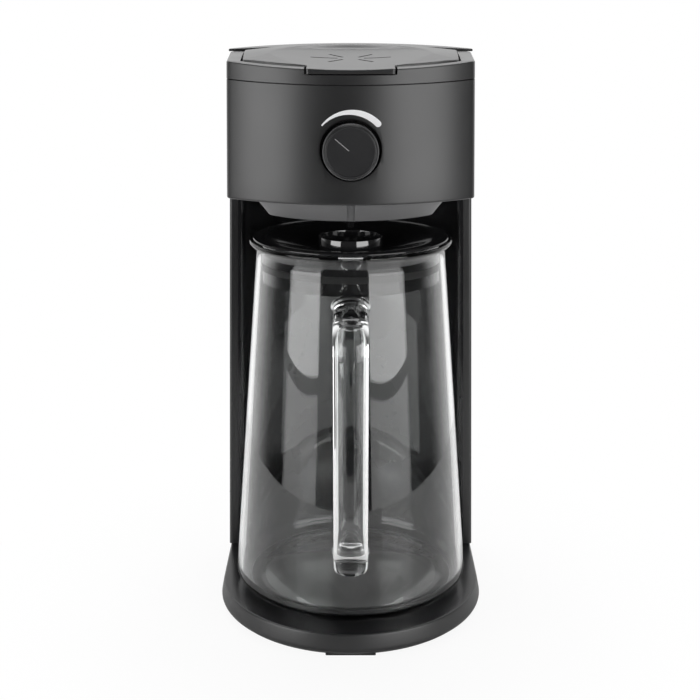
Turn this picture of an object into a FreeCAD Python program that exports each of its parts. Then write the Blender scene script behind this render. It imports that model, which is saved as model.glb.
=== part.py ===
import FreeCAD, Part
import math
import os
import re
import Sketcher

# Cold brew and iced tea maker, in millimetres.
# Every piece is drawn about the upright axis of the jug, with the front towards -Y, and is then shifted by
# AxisY and Lift, which put the row's origin on the table under the middle of the whole object.

V = FreeCAD.Vector
doc = FreeCAD.newDocument("ColdBrewMaker")
sheet = doc.addObject("Spreadsheet::Sheet", "Sizes")

SIZES = [
    ("AxisY", -9.1, "jug axis, measured from the middle of the object"),
    ("Lift", 2, "the heights below start this far above the table"),
    ("Wall", 2.5, "moulded wall"),
    ("Gap", 0.6, "gap between parts that move"),
    # base
    ("FootHeight", -0.5, "top of the feet, underside of the bottom plate"),
    ("BaseRadius", 84, "widest radius of the base"),
    ("BaseWideHeight", 3, "height of the widest line"),
    ("BaseUnderInset", 4, "how far the underside draws in"),
    ("BaseEdgeInset", 2, "how far the deck edge draws in"),
    ("DeckHeight", 13.5, "top of the deck"),
    ("SideEnd", 80, "where the straight sides end and the rear arc starts"),
    ("BaseReach", 126, "rear of the base"),
    ("PadRadius", 65, "raised pad under the jug"),
    ("PadHeight", 14.5, "top of the pad"),
    ("PlateThickness", 2.5, "bottom plate"),
    ("BossRadius", 4, "screw boss"),
    ("ScrewRadius", 1.5, "screw shank"),
    ("ScrewHeadRadius", 3, "screw head"),
    ("BaseScrewX", 48, "bottom plate screws"),
    ("BaseScrewY", 38, "bottom plate screws"),
    ("TowerScrewX", 72, "tower screws"),
    ("TowerScrewY", 72, "tower screws"),
    # tower
    ("WingFront", 46, "front faces of the two wings"),
    ("TowerFrontHalf", 83.2, "half width at the wings, at the deck"),
    ("TowerRearHalf", 83.6, "half width where the rear arc starts, at the deck"),
    ("TowerReach", 124.5, "rear of the tower, at the deck"),
    ("FrontDraft", 0.02605, "draw-in per millimetre of height"),
    ("RearDraft", 0.0180, "draw-in per millimetre of height"),
    ("ReachDraft", 0.0165, "draw-in per millimetre of height"),
    ("BayRadius", 87.3, "concave bay at the deck"),
    ("BayDraft", 0.0199, "draw-in per millimetre of height"),
    # head
    ("HeadBottom", 264.8, "underside of the head"),
    ("HeadTop", 341.7, "side rims of the head"),
    ("SeamHeight", 331.7, "seam between head shell and top frame"),
    ("SeamFront", 329.9, "the same seam at the front centre"),
    ("FrontTop", 338.2, "top edge at the front centre"),
    ("HeadFront", 60, "front of the head"),
    ("HeadCorner", 35, "front corners of the head"),
    ("CornerHalf", 70.7, "half width at the front corners, at the underside"),
    ("CornerDraft", 0.0221, "draw-in per millimetre of height"),
    ("HeadRearHalf", 79.3, "half width where the rear arc starts, at the underside"),
    ("HeadRearDraft", 0.0286, "draw-in per millimetre of height"),
    ("HeadReach", 121.5, "rear of the head, at the underside"),
    ("HeadReachDraft", 0.026, "draw-in per millimetre of height"),
    ("HeadScrewX", 65.5, "head screws"),
    ("HeadScrewY", 20, "head screws"),
    # knob
    ("KnobHeight", 295, "height of the knob's axis"),
    ("KnobRadius", 15.4, "knob skirt"),
    ("KnobFaceRadius", 13.4, "knob face inside its bevel"),
    ("KnobFront", 68.5, "front face of the knob"),
    ("KnobBack", 54, "back of the knob"),
    ("CupRadius", 16.8, "recess round the knob"),
    ("CupOuter", 18.4, "outside of the knob cup"),
    ("CupFloor", 53, "front face of the cup's floor"),
    ("CupBack", 50.5, "back face of the cup's floor"),
    ("SpindleRadius", 3, "knob spindle"),
    ("RunningFit", 0.05, "radial clearance of a running fit"),
    ("PointerAngle", 50, "the pointer's turn to the left at rest"),
    ("PointerWidth", 1.2, "pointer groove"),
    ("PointerStart", 1.5, "inner end of the pointer groove"),
    ("PointerEnd", 12.6, "outer end of the pointer groove"),
    # top lid
    ("LidFront", 50, "front edge of the lid at the centre"),
    ("LidCorner", 30, "front corners of the lid"),
    ("LidCornerHalf", 60.4, "half width at the front corners of the lid"),
    ("LidRearHalf", 66.7, "half width at the rear of the lid"),
    ("LidRear", 74.2, "rear edge of the lid"),
    ("LidBottom", 334, "underside of the lid's skirt"),
    ("LidCrest", 348.1, "highest point of the lid"),
    ("DomeRadius", 560, "sphere of the lid's dome"),
    ("DomeY", 25, "centre of the dome"),
    ("LidWall", 2.4, "wall of the lid"),
    ("ScoopRadius", 46.5, "round scoop in the lid"),
    ("ScoopY", 12, "scoop centre, in front of the jug axis"),
    ("ScoopCurve", 360, "crosswise curve of the scoop's floor"),
    ("ScoopTilt", 4.3, "slope of the scoop's floor, in degrees"),
    ("SlotGap", 0.9, "gap round the lid"),
    ("TabHalf", 24.1, "half width of the finger tab"),
    ("TabFront", 60.2, "front of the finger tab"),
    ("TabBottom", 334.4, "underside of the finger tab"),
    ("HingeY", 66, "lid hinge axis"),
    ("HingeZ", 338.5, "lid hinge axis"),
    ("BarrelRadius", 8.2, "rounded rear end of the lid"),
    ("PinRadius", 1.5, "hinge pins"),
    ("EarX", 55, "hinge ears under the lid"),
    ("CrossbarFront", 75.2, "crossbar behind the lid"),
    ("CrossbarBack", 78, "crossbar behind the lid"),
    # rear cover
    ("CoverFront", 79.6, "front edge of the rear cover"),
    ("CoverHalf", 78.3, "half width of the rear cover"),
    ("CoverReach", 121, "rear of the rear cover"),
    ("CoverCrest", 345.4, "highest point of the rear cover"),
    ("CoverCurve", 1500, "sphere of the rear cover"),
    # water tank
    ("TankBottom", 72, "underside of the tank"),
    ("TankTop", 329.8, "rim of the tank"),
    ("TankFront", 62, "front ends of the tank"),
    ("TankInset", 4, "from the tower's skin to the tank"),
    ("TankWall", 2, "wall of the tank"),
    ("FeedX", 32, "tank outlet and feed hose, left of the centre"),
    ("FeedY", 101, "tank outlet and feed hose"),
    # heater
    ("HeaterHalf", 40, "half length of the heater block"),
    ("HeaterY", 100, "centre of the heater block"),
    ("HeaterDepth", 14, "front to back"),
    ("HeaterBottom", 28, "underside of the heater block"),
    ("HeaterHeight", 22, "height of the heater block"),
    ("WaterZ", 44, "water channel in the heater block"),
    ("ElementZ", 34.5, "heating element in the heater block"),
    ("HoseRadius", 4, "hose, outside"),
    ("HoseBore", 2.8, "hose, inside"),
    ("SpoutHeight", 329.6, "level run of the hose under the lid"),
    # switch and cord gland
    ("SwitchY", 66, "power switch in the left side"),
    ("SwitchZ", 52, "power switch in the left side"),
    ("SwitchHalf", 6.5, "half width of the switch opening"),
    ("SwitchTall", 9.5, "half height of the switch opening"),
    ("SwitchFace", 82.6, "outer face of the side wall at the switch"),
    ("GlandRadius", 5.9, "cord gland, in the wall"),
    ("GlandBore", 3.4, "hole for the cord"),
    ("GlandY", 124.5, "outer face of the rear wall at the gland"),
    ("GlandZ", 24, "height of the cord gland"),
    # brew parts
    ("WellBottom", 253.6, "underside of the brew well"),
    ("WellRadius", 43, "inside of the brew well"),
    ("WellWall", 2, "wall of the brew well"),
    ("WellTop", 322, "top of the brew well"),
    ("WellFront", 47, "front of the well's underside"),
    ("WellCorner", 25, "front corners of the well's underside"),
    ("WellHalf", 47.4, "half width at those corners"),
    ("WellRearHalf", 51, "half width at the rear of the well's underside"),
    ("WellRear", 34, "rear of the well's underside"),
    ("WellFlare", 8.1, "flare of the well's edge"),
    ("BasketRadius", 40, "outside of the brew basket"),
    ("BasketBottom", 257, "underside of the brew basket"),
    ("BasketTop", 326, "top of the brew basket"),
    ("LedgeHeight", 265, "ledge in the basket that carries the filter"),
    ("FilterRadius", 36.5, "outside of the filter"),
    ("FilterTop", 321, "top of the filter"),
    ("NozzleBottom", 246, "lower end of the basket's nozzle"),
    ("NozzleRadius", 7, "outside of the nozzle"),
    ("NozzleBore", 4.8, "inside of the nozzle"),
    ("StemRadius", 2.2, "drip valve stem"),
    ("StemTip", 241.4, "lower tip of the drip valve"),
    ("ShowerRadius", 24, "shower plate"),
    ("ShowerY", 14, "centre of the shower plate, in front of the jug axis"),
    ("ShowerTop", 331, "top of the shower plate"),
    # jug
    ("JugBottom", 14.5, "the jug stands on the pad"),
    ("JugFlat", 64.2, "radius of the flat bottom"),
    ("JugWide", 73.3, "widest radius of the jug"),
    ("JugWideHeight", 23.7, "height of the widest line"),
    ("NeckRadius", 57.4, "neck of the jug"),
    ("NeckHeight", 228, "height of the neck"),
    ("LipRadius", 61.1, "flared lip"),
    ("LipHeight", 235.5, "top of the lip"),
    ("GlassWall", 3, "wall of the jug"),
    ("HandleY", 102, "centre line of the upright bar"),
    ("HandleTop", 207.2, "centre line of the upper arm"),
    ("HandleBottom", 62.1, "centre line of the lower arm"),
    ("HandleHalf", 9.9, "half width of the bar"),
    ("HandleDepth", 5.8, "half depth of the bar"),
    ("UpperBend", 20, "upper bend of the handle"),
    ("LowerBend", 13, "lower bend of the handle"),
    ("LidSkirtBottom", 211.5, "lower edge of the jug lid's skirt"),
]

SIZE_NAMES = []
for row, (alias, number, meaning) in enumerate(SIZES, start=1):
    sheet.set("A%d" % row, alias)
    sheet.set("B%d" % row, str(number))
    sheet.set("C%d" % row, meaning)
    sheet.setAlias("B%d" % row, alias)
    SIZE_NAMES.append(alias)
doc.recompute()


def ex(text):
    """An expression with every size name looked up in the sheet."""
    return re.sub(r"[A-Z][A-Za-z]+", lambda found: "Sizes." + found.group(0), str(text))


def num(text):
    """The value of an expression now."""
    return float(sheet.evalExpression(ex(text)))


# Sketches and features

def plane_of(body, role):
    for feature in body.Origin.OriginFeatures:
        if feature.Role == role:
            return feature


def new_sketch(body, role="XY_Plane", height="0"):
    sketch = body.newObject("Sketcher::SketchObject", "Outline")
    sketch.AttachmentSupport = [(plane_of(body, role), "")]
    sketch.MapMode = "FlatFace"
    sketch.setExpression(".AttachmentOffset.Base.z", ex(height))
    return sketch


def pin_to(sketch, geometry, point, direction, text):
    index = sketch.addConstraint(Sketcher.Constraint(direction, -1, 1, geometry, point, num(text)))
    sketch.setExpression("Constraints[%d]" % index, ex(text))


def arc_between(start, end, axis, place, turn):
    """An arc from start to end whose centre has the given x or y."""
    middle = (start + end) * 0.5
    chord = end - start
    if axis == "y":
        along = (place - middle.y) / chord.x
    else:
        along = (middle.x - place) / chord.y
    centre = middle + V(-chord.y, chord.x, 0) * along
    first, last = (start, end) if turn == "ccw" else (end, start)
    angle_a = math.atan2(first.y - centre.y, first.x - centre.x)
    angle_b = math.atan2(last.y - centre.y, last.x - centre.x)
    if angle_b <= angle_a:
        angle_b += 2 * math.pi
    circle = Part.Circle(centre, V(0, 0, 1), (start - centre).Length)
    return Part.ArcOfCircle(circle, angle_a, angle_b)


def draw_loop(sketch, corners):
    """A closed outline. A corner is (x, y), or (x, y, axis, place, turn) where an arc leaves it."""
    points = [V(num(corner[0]), num(corner[1]), 0) for corner in corners]
    count = len(corners)
    first = sketch.GeometryCount
    ends = []
    for i, corner in enumerate(corners):
        start, end = points[i], points[(i + 1) % count]
        if len(corner) == 2:
            sketch.addGeometry(Part.LineSegment(start, end))
            ends.append((1, 2))
        else:
            axis, place, turn = corner[2:]
            sketch.addGeometry(arc_between(start, end, axis, num(place), turn))
            ends.append((1, 2) if turn == "ccw" else (2, 1))
    for i, corner in enumerate(corners):
        following = (i + 1) % count
        sketch.addConstraint(Sketcher.Constraint("Coincident", first + i, ends[i][1],
                                                 first + following, ends[following][0]))
        pin_to(sketch, first + i, ends[i][0], "DistanceX", corner[0])
        pin_to(sketch, first + i, ends[i][0], "DistanceY", corner[1])
        if len(corner) == 5:
            direction = "DistanceY" if corner[2] == "y" else "DistanceX"
            pin_to(sketch, first + i, 3, direction, corner[3])


def draw_circle(sketch, radius, x="0", y="0"):
    circle = Part.Circle(V(num(x), num(y), 0), V(0, 0, 1), num(radius))
    geometry = sketch.addGeometry(circle)
    pin_to(sketch, geometry, 3, "DistanceX", x)
    pin_to(sketch, geometry, 3, "DistanceY", y)
    index = sketch.addConstraint(Sketcher.Constraint("Radius", geometry, num(radius)))
    sketch.setExpression("Constraints[%d]" % index, ex(radius))


def rectangle(low_x, low_y, high_x, high_y):
    return [(low_x, low_y), (high_x, low_y), (high_x, high_y), (low_x, high_y)]


def new_body(name):
    return doc.addObject("PartDesign::Body", name)


def pad(body, sketch, length, midplane=False):
    feature = body.newObject("PartDesign::Pad", "Pad")
    feature.Profile = sketch
    feature.setExpression("Length", ex(length))
    feature.Midplane = midplane
    doc.recompute()
    return feature


def pocket(body, sketch, length, midplane=False, upwards=False):
    """Cut to a length, downwards from the sketch unless told otherwise."""
    feature = body.newObject("PartDesign::Pocket", "Pocket")
    feature.Profile = sketch
    feature.setExpression("Length", ex(length))
    feature.Midplane = midplane
    feature.Reversed = upwards
    doc.recompute()
    return feature


def turn(body, kind, sketch):
    feature = body.newObject("PartDesign::" + kind, kind)
    feature.Profile = sketch
    feature.ReferenceAxis = (sketch, ["V_Axis"])
    feature.Angle = 360
    doc.recompute()
    return feature


def loft(body, kind, levels):
    """Straight walls between outlines at rising heights: levels are (height, corners)."""
    sketches = []
    for height, corners in levels:
        sketch = new_sketch(body, "XY_Plane", height)
        draw_loop(sketch, corners)
        sketches.append(sketch)
    doc.recompute()
    feature = body.newObject("PartDesign::" + kind, kind)
    feature.Profile = sketches[0]
    feature.Sections = sketches[1:]
    feature.Ruled = True
    doc.recompute()
    return feature


def turned_body(name, profile):
    """A piece turned about the jug's axis: the profile is drawn on (radius, height)."""
    body = new_body(name)
    sketch = new_sketch(body, "XZ_Plane")
    draw_loop(sketch, profile)
    turn(body, "Revolution", sketch)
    return body


# Primitives and booleans

TURNS = {"Z": FreeCAD.Rotation(),
         "Y": FreeCAD.Rotation(V(1, 0, 0), -90),
         "X": FreeCAD.Rotation(V(0, 1, 0), 90)}


def set_place(obj, at, rotation):
    obj.Placement = FreeCAD.Placement(V(*[num(value) for value in at]), rotation)
    for letter, value in zip("xyz", at):
        obj.setExpression(".Placement.Base." + letter, ex(value))


def cylinder(radius, height, at, axis="Z"):
    obj = doc.addObject("Part::Cylinder", "Cylinder")
    obj.setExpression("Radius", ex(radius))
    obj.setExpression("Height", ex(height))
    set_place(obj, at, TURNS[axis])
    return obj


def cone(low_radius, high_radius, height, at):
    obj = doc.addObject("Part::Cone", "Cone")
    obj.setExpression("Radius1", ex(low_radius))
    obj.setExpression("Radius2", ex(high_radius))
    obj.setExpression("Height", ex(height))
    set_place(obj, at, TURNS["Z"])
    return obj


def ball(radius, at):
    obj = doc.addObject("Part::Sphere", "Sphere")
    obj.setExpression("Radius", ex(radius))
    set_place(obj, at, TURNS["Z"])
    return obj


def box(low, sizes):
    obj = doc.addObject("Part::Box", "Box")
    for field, value in zip(("Length", "Width", "Height"), sizes):
        obj.setExpression(field, ex(value))
    set_place(obj, low, TURNS["Z"])
    return obj


def fuse(pieces):
    obj = doc.addObject("Part::MultiFuse", "Fuse")
    obj.Shapes = pieces
    return obj


def cut(base, tools):
    obj = doc.addObject("Part::Cut", "Cut")
    obj.Base = base
    obj.Tool = tools[0] if len(tools) == 1 else fuse(tools)
    return obj


def common(base, tool):
    obj = doc.addObject("Part::Common", "Common")
    obj.Base = base
    obj.Tool = tool
    return obj


def tube(outer, inner, height, at, axis="Z"):
    return cut(cylinder(outer, height, at, axis), [cylinder(inner, height, at, axis)])


SUB_PARTS = []


def keep(obj, label):
    """Name a finished piece and shift it to the row's origin."""
    obj.Label = label
    obj.setExpression(".Placement.Base.y", ex("AxisY"))
    obj.setExpression(".Placement.Base.z", ex("Lift"))
    SUB_PARTS.append(obj)
    return obj


# Plan outlines: each is drawn from its front left corner, counterclockwise

def rear_centre(half, reach):
    """The y of the centre of a rear arc through both side ends and the reach."""
    sag = "((%s)-SideEnd)" % reach
    return "(%s)-((%s)^2+%s^2)/(2*%s)" % (reach, half, sag, sag)


def front_centre(half, front, corner):
    """The y of the centre of a front arc through both corners and the front."""
    sag = "((%s)-(%s))" % (front, corner)
    return "((%s)^2+%s^2)/(2*%s)-(%s)" % (half, sag, sag, front)


def base_outline(inset):
    half = "(BaseRadius-(%s))" % inset
    reach = "(BaseReach-(%s))" % inset
    return [("-" + half, "0", "y", "0", "ccw"),
            (half, "0"),
            (half, "SideEnd", "y", rear_centre(half, reach), "ccw"),
            ("-" + half, "SideEnd")]


def tower_outline(height, inset, front="WingFront"):
    rise = "((%s)-DeckHeight)" % height
    front_half = "(TowerFrontHalf-FrontDraft*%s-(%s))" % (rise, inset)
    rear_half = "(TowerRearHalf-RearDraft*%s-(%s))" % (rise, inset)
    reach = "(TowerReach-ReachDraft*%s-(%s))" % (rise, inset)
    return [("-" + front_half, front),
            (front_half, front),
            (rear_half, "SideEnd", "y", rear_centre(rear_half, reach), "ccw"),
            ("-" + rear_half, "SideEnd")]


def head_outline(height, inset):
    rise = "((%s)-HeadBottom)" % height
    corner_half = "(CornerHalf-CornerDraft*%s-(%s))" % (rise, inset)
    rear_half = "(HeadRearHalf-HeadRearDraft*%s-(%s))" % (rise, inset)
    reach = "(HeadReach-HeadReachDraft*%s-(%s))" % (rise, inset)
    front = "(HeadFront-(%s))" % inset
    corner = "(HeadCorner-(%s))" % inset
    return [("-" + corner_half, "-" + corner, "y", front_centre(corner_half, front, corner), "ccw"),
            (corner_half, "-" + corner),
            (rear_half, "SideEnd", "y", rear_centre(rear_half, reach), "ccw"),
            ("-" + rear_half, "SideEnd")]


def lid_outline(grow):
    half = "(LidCornerHalf+(%s))" % grow
    rear_half = "(LidRearHalf+(%s))" % grow
    front = "(LidFront+(%s))" % grow
    corner = "(LidCorner+(%s))" % grow
    return [("-" + half, "-" + corner, "y", front_centre(half, front, corner), "ccw"),
            (half, "-" + corner),
            (rear_half, "LidRear+(%s)" % grow),
            ("-" + rear_half, "LidRear+(%s)" % grow)]


def well_outline(grow):
    half = "(WellHalf+(%s))" % grow
    rear_half = "(WellRearHalf+(%s))" % grow
    front = "(WellFront+(%s))" % grow
    corner = "(WellCorner+(%s)/2)" % grow
    return [("-" + half, "-" + corner, "y", front_centre(half, front, corner), "ccw"),
            (half, "-" + corner),
            (rear_half, "WellRear+(%s)/2" % grow),
            ("-" + rear_half, "WellRear+(%s)/2" % grow)]


def four_corners(x, y):
    return [("-(%s)" % x, "-(%s)" % y), (x, "-(%s)" % y), (x, y), ("-(%s)" % x, y)]


# Base

def make_base_shell():
    body = new_body("BaseShell")
    loft(body, "AdditiveLoft", [("FootHeight", base_outline("BaseUnderInset")),
                                ("BaseWideHeight", base_outline("0")),
                                ("DeckHeight", base_outline("BaseEdgeInset"))])
    loft(body, "SubtractiveLoft", [("FootHeight", base_outline("BaseUnderInset+Wall")),
                                   ("BaseWideHeight", base_outline("Wall")),
                                   ("DeckHeight-Wall", base_outline("BaseEdgeInset+Wall"))])
    disc = new_sketch(body, "XY_Plane", "DeckHeight-Wall")
    draw_circle(disc, "PadRadius")
    pad(body, disc, "PadHeight-DeckHeight+Wall")
    hollow = new_sketch(body, "XY_Plane", "PadHeight-Wall")
    draw_circle(hollow, "PadRadius-Wall")
    pocket(body, hollow, "PadHeight-DeckHeight")
    bosses = new_sketch(body, "XY_Plane", "FootHeight+PlateThickness")
    for x, y in four_corners("BaseScrewX", "BaseScrewY"):
        draw_circle(bosses, "BossRadius", x, y)
    pad(body, bosses, "PadHeight-Wall-FootHeight-PlateThickness")
    holes = new_sketch(body, "XY_Plane", "DeckHeight-Wall")
    for x, y in four_corners("BaseScrewX", "BaseScrewY"):
        draw_circle(holes, "ScrewRadius", x, y)
    pocket(body, holes, "DeckHeight")
    deck_holes = new_sketch(body, "XY_Plane", "DeckHeight")
    for side in ("-", ""):
        draw_circle(deck_holes, "ScrewRadius", side + "TowerScrewX", "TowerScrewY")
        draw_circle(deck_holes, "ScrewRadius", side + "TowerScrewX/2", "SideEnd+TankFront/2")
    pocket(body, deck_holes, "Wall")
    return keep(body, "base_shell")


def make_base_plate():
    body = new_body("BasePlate")
    loft(body, "AdditiveLoft",
         [("FootHeight", base_outline("BaseUnderInset+Wall+0.4")),
          ("FootHeight+PlateThickness", base_outline("BaseUnderInset+Wall+0.4"))])
    holes = new_sketch(body, "XY_Plane", "FootHeight+PlateThickness")
    for x, y in four_corners("BaseScrewX", "BaseScrewY"):
        draw_circle(holes, "ScrewRadius", x, y)
    for i in range(-3, 4):
        x = 9 * i
        draw_loop(holes, rectangle(str(x - 1.5), "60", str(x + 1.5), "84"))
    pocket(body, holes, "PlateThickness")
    return keep(body, "base_plate")


def make_feet():
    front = box(("-15", "-79", "-Lift"), ("30", "12", "FootHeight+Lift"))
    pads = [cylinder("7", "FootHeight+Lift", (side + "62", y, "-Lift"))
            for side in ("-", "") for y in ("8", "88")]
    return keep(fuse([front] + pads), "rubber_feet")


def screw(x, y, seat, length):
    """A screw that points up, with its head below the seat."""
    shank = cylinder("ScrewRadius", length, (x, y, seat))
    head = cylinder("ScrewHeadRadius", "1.2", (x, y, "(%s)-1.2" % seat))
    return fuse([shank, head])


def make_base_screws():
    screws = [screw(x, y, "FootHeight", "8.5") for x, y in four_corners("BaseScrewX", "BaseScrewY")]
    return keep(fuse(screws), "base_screws")


# Tower

def bay_cone(grow, low, high):
    low_radius = "BayRadius-BayDraft*((%s)-DeckHeight)+(%s)" % (low, grow)
    high_radius = "BayRadius-BayDraft*((%s)-DeckHeight)+(%s)" % (high, grow)
    return cone(low_radius, high_radius, "(%s)-(%s)" % (high, low), ("0", "0", low))


def tower_solid(name, inset, front, low, high):
    body = new_body(name)
    levels = [(height, tower_outline(height, inset, front)) for height in (low, high)]
    loft(body, "AdditiveLoft", levels)
    return body


def make_tower_shell():
    skin = tower_solid("TowerSkin", "0", "WingFront", "DeckHeight", "HeadBottom")
    room = tower_solid("TowerRoom", "Wall", "WingFront+Wall", "DeckHeight-1", "HeadBottom+1")
    shell = cut(skin, [room, bay_cone("Wall+0.1", "DeckHeight-1", "HeadBottom+1")])
    bosses = []
    for side in ("-", ""):
        foot = (side + "TowerScrewX", "TowerScrewY", "DeckHeight")
        bosses.append(tube("BossRadius", "ScrewRadius", "16", foot))
    webs = [box(("TowerScrewX+BossRadius-0.5", "TowerScrewY-1", "DeckHeight"), ("6.5", "2", "16")),
            box(("-TowerScrewX-BossRadius-6", "TowerScrewY-1", "DeckHeight"), ("6.5", "2", "16"))]
    holes = [box(("-TowerFrontHalf-1", "SwitchY-SwitchHalf-1.25", "SwitchZ-SwitchTall-1.25"),
                 ("8", "2*SwitchHalf+2.5", "2*SwitchTall+2.5")),
             cylinder("GlandRadius", "20", ("0", "TowerReach-12", "GlandZ"), "Y")]
    return keep(cut(fuse([shell] + bosses + webs), holes), "tower_shell")


def make_bay_panel():
    wall = cut(bay_cone("Wall", "DeckHeight", "HeadBottom"), [bay_cone("0", "DeckHeight", "HeadBottom")])
    rear = box(("-BaseRadius-5", "WingFront", "DeckHeight"),
               ("2*BaseRadius+10", "BaseReach", "HeadBottom-DeckHeight"))
    return keep(common(wall, rear), "bay_panel")


def make_tower_screws():
    screws = [screw(side + "TowerScrewX", "TowerScrewY", "DeckHeight-Wall", "10") for side in ("-", "")]
    screws += [screw(side + "TowerScrewX/2", "SideEnd+TankFront/2", "DeckHeight-Wall", "Wall+5")
               for side in ("-", "")]
    return keep(fuse(screws), "tower_screws")


# Water tank and its plumbing

def make_tank():
    skin = tower_solid("TankSkin", "TankInset", "TankFront", "TankBottom", "TankTop")
    room = tower_solid("TankRoom", "TankInset+TankWall", "TankFront+TankWall", "TankBottom+TankWall",
                       "TankTop+5")
    outside = cut(skin, [bay_cone("TankInset+TankWall", "TankBottom-1", "TankTop+1")])
    inside = cut(room, [bay_cone("TankInset+2*TankWall", "TankBottom", "TankTop+6")])
    spout = cylinder("HoseRadius", "8.1", ("-FeedX", "FeedY", "TankBottom-8"))
    drain = cylinder("HoseBore", "14", ("-FeedX", "FeedY", "TankBottom-9"))
    return keep(cut(fuse([cut(outside, [inside]), spout]), [drain]), "water_tank")


def make_check_valve():
    return keep(tube("HoseBore", "1.2", "5", ("-FeedX", "FeedY", "TankBottom-7")), "check_valve")


def make_feed_hose():
    return keep(tube("HoseRadius+1.6", "HoseRadius", "TankBottom-HeaterBottom-HeaterHeight-3",
                     ("-FeedX", "FeedY", "HeaterBottom+HeaterHeight+1.5")), "feed_hose")


def make_hose_clips():
    clips = []
    for z in ("HeaterBottom+HeaterHeight+3", "TankBottom-6"):
        clips.append(tube("HoseRadius+2.6", "HoseRadius+1.6", "3", ("-FeedX", "FeedY", z)))
    clips.append(tube("HoseRadius+1", "HoseRadius", "4", ("HeaterHalf+3", "HeaterY", "WaterZ"), "X"))
    return keep(fuse(clips), "hose_clips")


def make_heater_block():
    block = box(("-HeaterHalf", "HeaterY-HeaterDepth/2", "HeaterBottom"),
                ("2*HeaterHalf", "HeaterDepth", "HeaterHeight"))
    nipple = cylinder("HoseRadius", "7", ("-FeedX", "FeedY", "HeaterBottom+HeaterHeight-0.5"))
    outlet = cylinder("HoseBore", "9", ("HeaterHalf-1", "HeaterY", "WaterZ"), "X")
    channel = cylinder("1.8", "2*HeaterHalf+9", ("-HeaterHalf+6", "HeaterY", "WaterZ"), "X")
    drop = cylinder("1.8", "HeaterHeight", ("-FeedX", "FeedY", "WaterZ"))
    element = cylinder("3", "2*HeaterHalf", ("-HeaterHalf", "HeaterY", "ElementZ"), "X")
    return keep(cut(fuse([block, nipple, outlet]), [channel, drop, element]), "heater_block")


def make_heating_element():
    rod = cylinder("3", "2*HeaterHalf", ("-HeaterHalf", "HeaterY", "ElementZ"), "X")
    ends = cylinder("1.4", "2*HeaterHalf+14", ("-HeaterHalf-7", "HeaterY", "ElementZ"), "X")
    return keep(fuse([rod, ends]), "heating_element")


def make_heater_bracket():
    depth = "HeaterDepth"
    legs = [box((x, "HeaterY-HeaterDepth/2", "DeckHeight"), ("8", depth, "HeaterBottom-DeckHeight-1.5"))
            for x in ("-30", "22")]
    tray = box(("-34", "HeaterY-HeaterDepth/2", "HeaterBottom-1.5"), ("68", depth, "1.5"))
    return keep(fuse(legs + [tray]), "heater_bracket")


def make_thermostat():
    top = "HeaterBottom+HeaterHeight"
    disc = cylinder("6.5", "3", ("-6", "HeaterY", top))
    cap = cylinder("5", "4", ("-6", "HeaterY", top + "+3"))
    return keep(fuse([disc, cap]), "thermostat")


def make_thermal_fuse():
    middle = "HeaterBottom+HeaterHeight+2"
    case = cylinder("2", "12", ("12", "HeaterY", middle), "X")
    leads = cylinder("0.6", "18", ("9", "HeaterY", middle), "X")
    return keep(fuse([case, leads]), "thermal_fuse")


def arc_path(points, bends):
    """Straight runs joined by arcs: one bend radius for each inner point."""
    edges = []
    start = points[0]
    for i in range(1, len(points) - 1):
        before = (points[i - 1] - points[i]).normalize()
        after = (points[i + 1] - points[i]).normalize()
        half_turn = (math.pi - before.getAngle(after)) / 2
        reach = bends[i - 1] * math.tan(half_turn)
        enter = points[i] + before * reach
        leave = points[i] + after * reach
        inward = (before + after).normalize()
        middle = points[i] + inward * (bends[i - 1] / math.cos(half_turn) - bends[i - 1])
        edges.append(Part.LineSegment(start, enter).toShape())
        edges.append(Part.Arc(enter, middle, leave).toShape())
        start = leave
    edges.append(Part.LineSegment(start, points[-1]).toShape())
    return Part.Wire(edges)


def pipe_along(points, bends, radius):
    path = arc_path(points, bends)
    heading = points[1] - points[0]
    section = Part.Wire(Part.Circle(points[0], heading, radius).toShape())
    solid = path.makePipeShell([section], True, True)
    return solid


def at(x, y, z):
    return V(num(x), num(y), num(z))


def swept(label, shapes):
    piece = doc.addObject("Part::Feature", "Swept")
    piece.Shape = shapes[0] if len(shapes) == 1 else Part.makeCompound(shapes)
    piece.Placement = FreeCAD.Placement(V(0, num("AxisY"), num("Lift")), FreeCAD.Rotation())
    piece.Label = label
    SUB_PARTS.append(piece)
    return piece


def make_riser_hose():
    run_height = "SpoutHeight"
    points = [at("HeaterHalf+1", "HeaterY", "WaterZ"),
              at("HeaterHalf+16", "HeaterY", "WaterZ"),
              at("74.8", "57", "WaterZ+2"),
              at("69.6", "57", "HeadBottom"),
              at("67.4", "56", run_height),
              at("56", "52.5", run_height)]
    bends = [8, 10, 60, 8]
    outer = pipe_along(points, bends, num("HoseRadius"))
    inner = pipe_along(points, bends, num("HoseBore"))
    return swept("riser_hose", [outer.cut(inner)])


def make_spout():
    """An elbow that stands up inside the closed lid."""
    along = (at("56", "52.5", "0") - at("67.4", "56", "0")).normalize()
    start = at("56", "52.5", "SpoutHeight")
    corner = start + along * 8.5
    points = [start, corner, V(corner.x, corner.y, num("SpoutHeight+8.4"))]
    outer = pipe_along(points, [4.6], num("HoseRadius"))
    inner = pipe_along(points, [4.6], num("HoseBore"))
    return swept("spout", [outer.cut(inner)])


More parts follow.
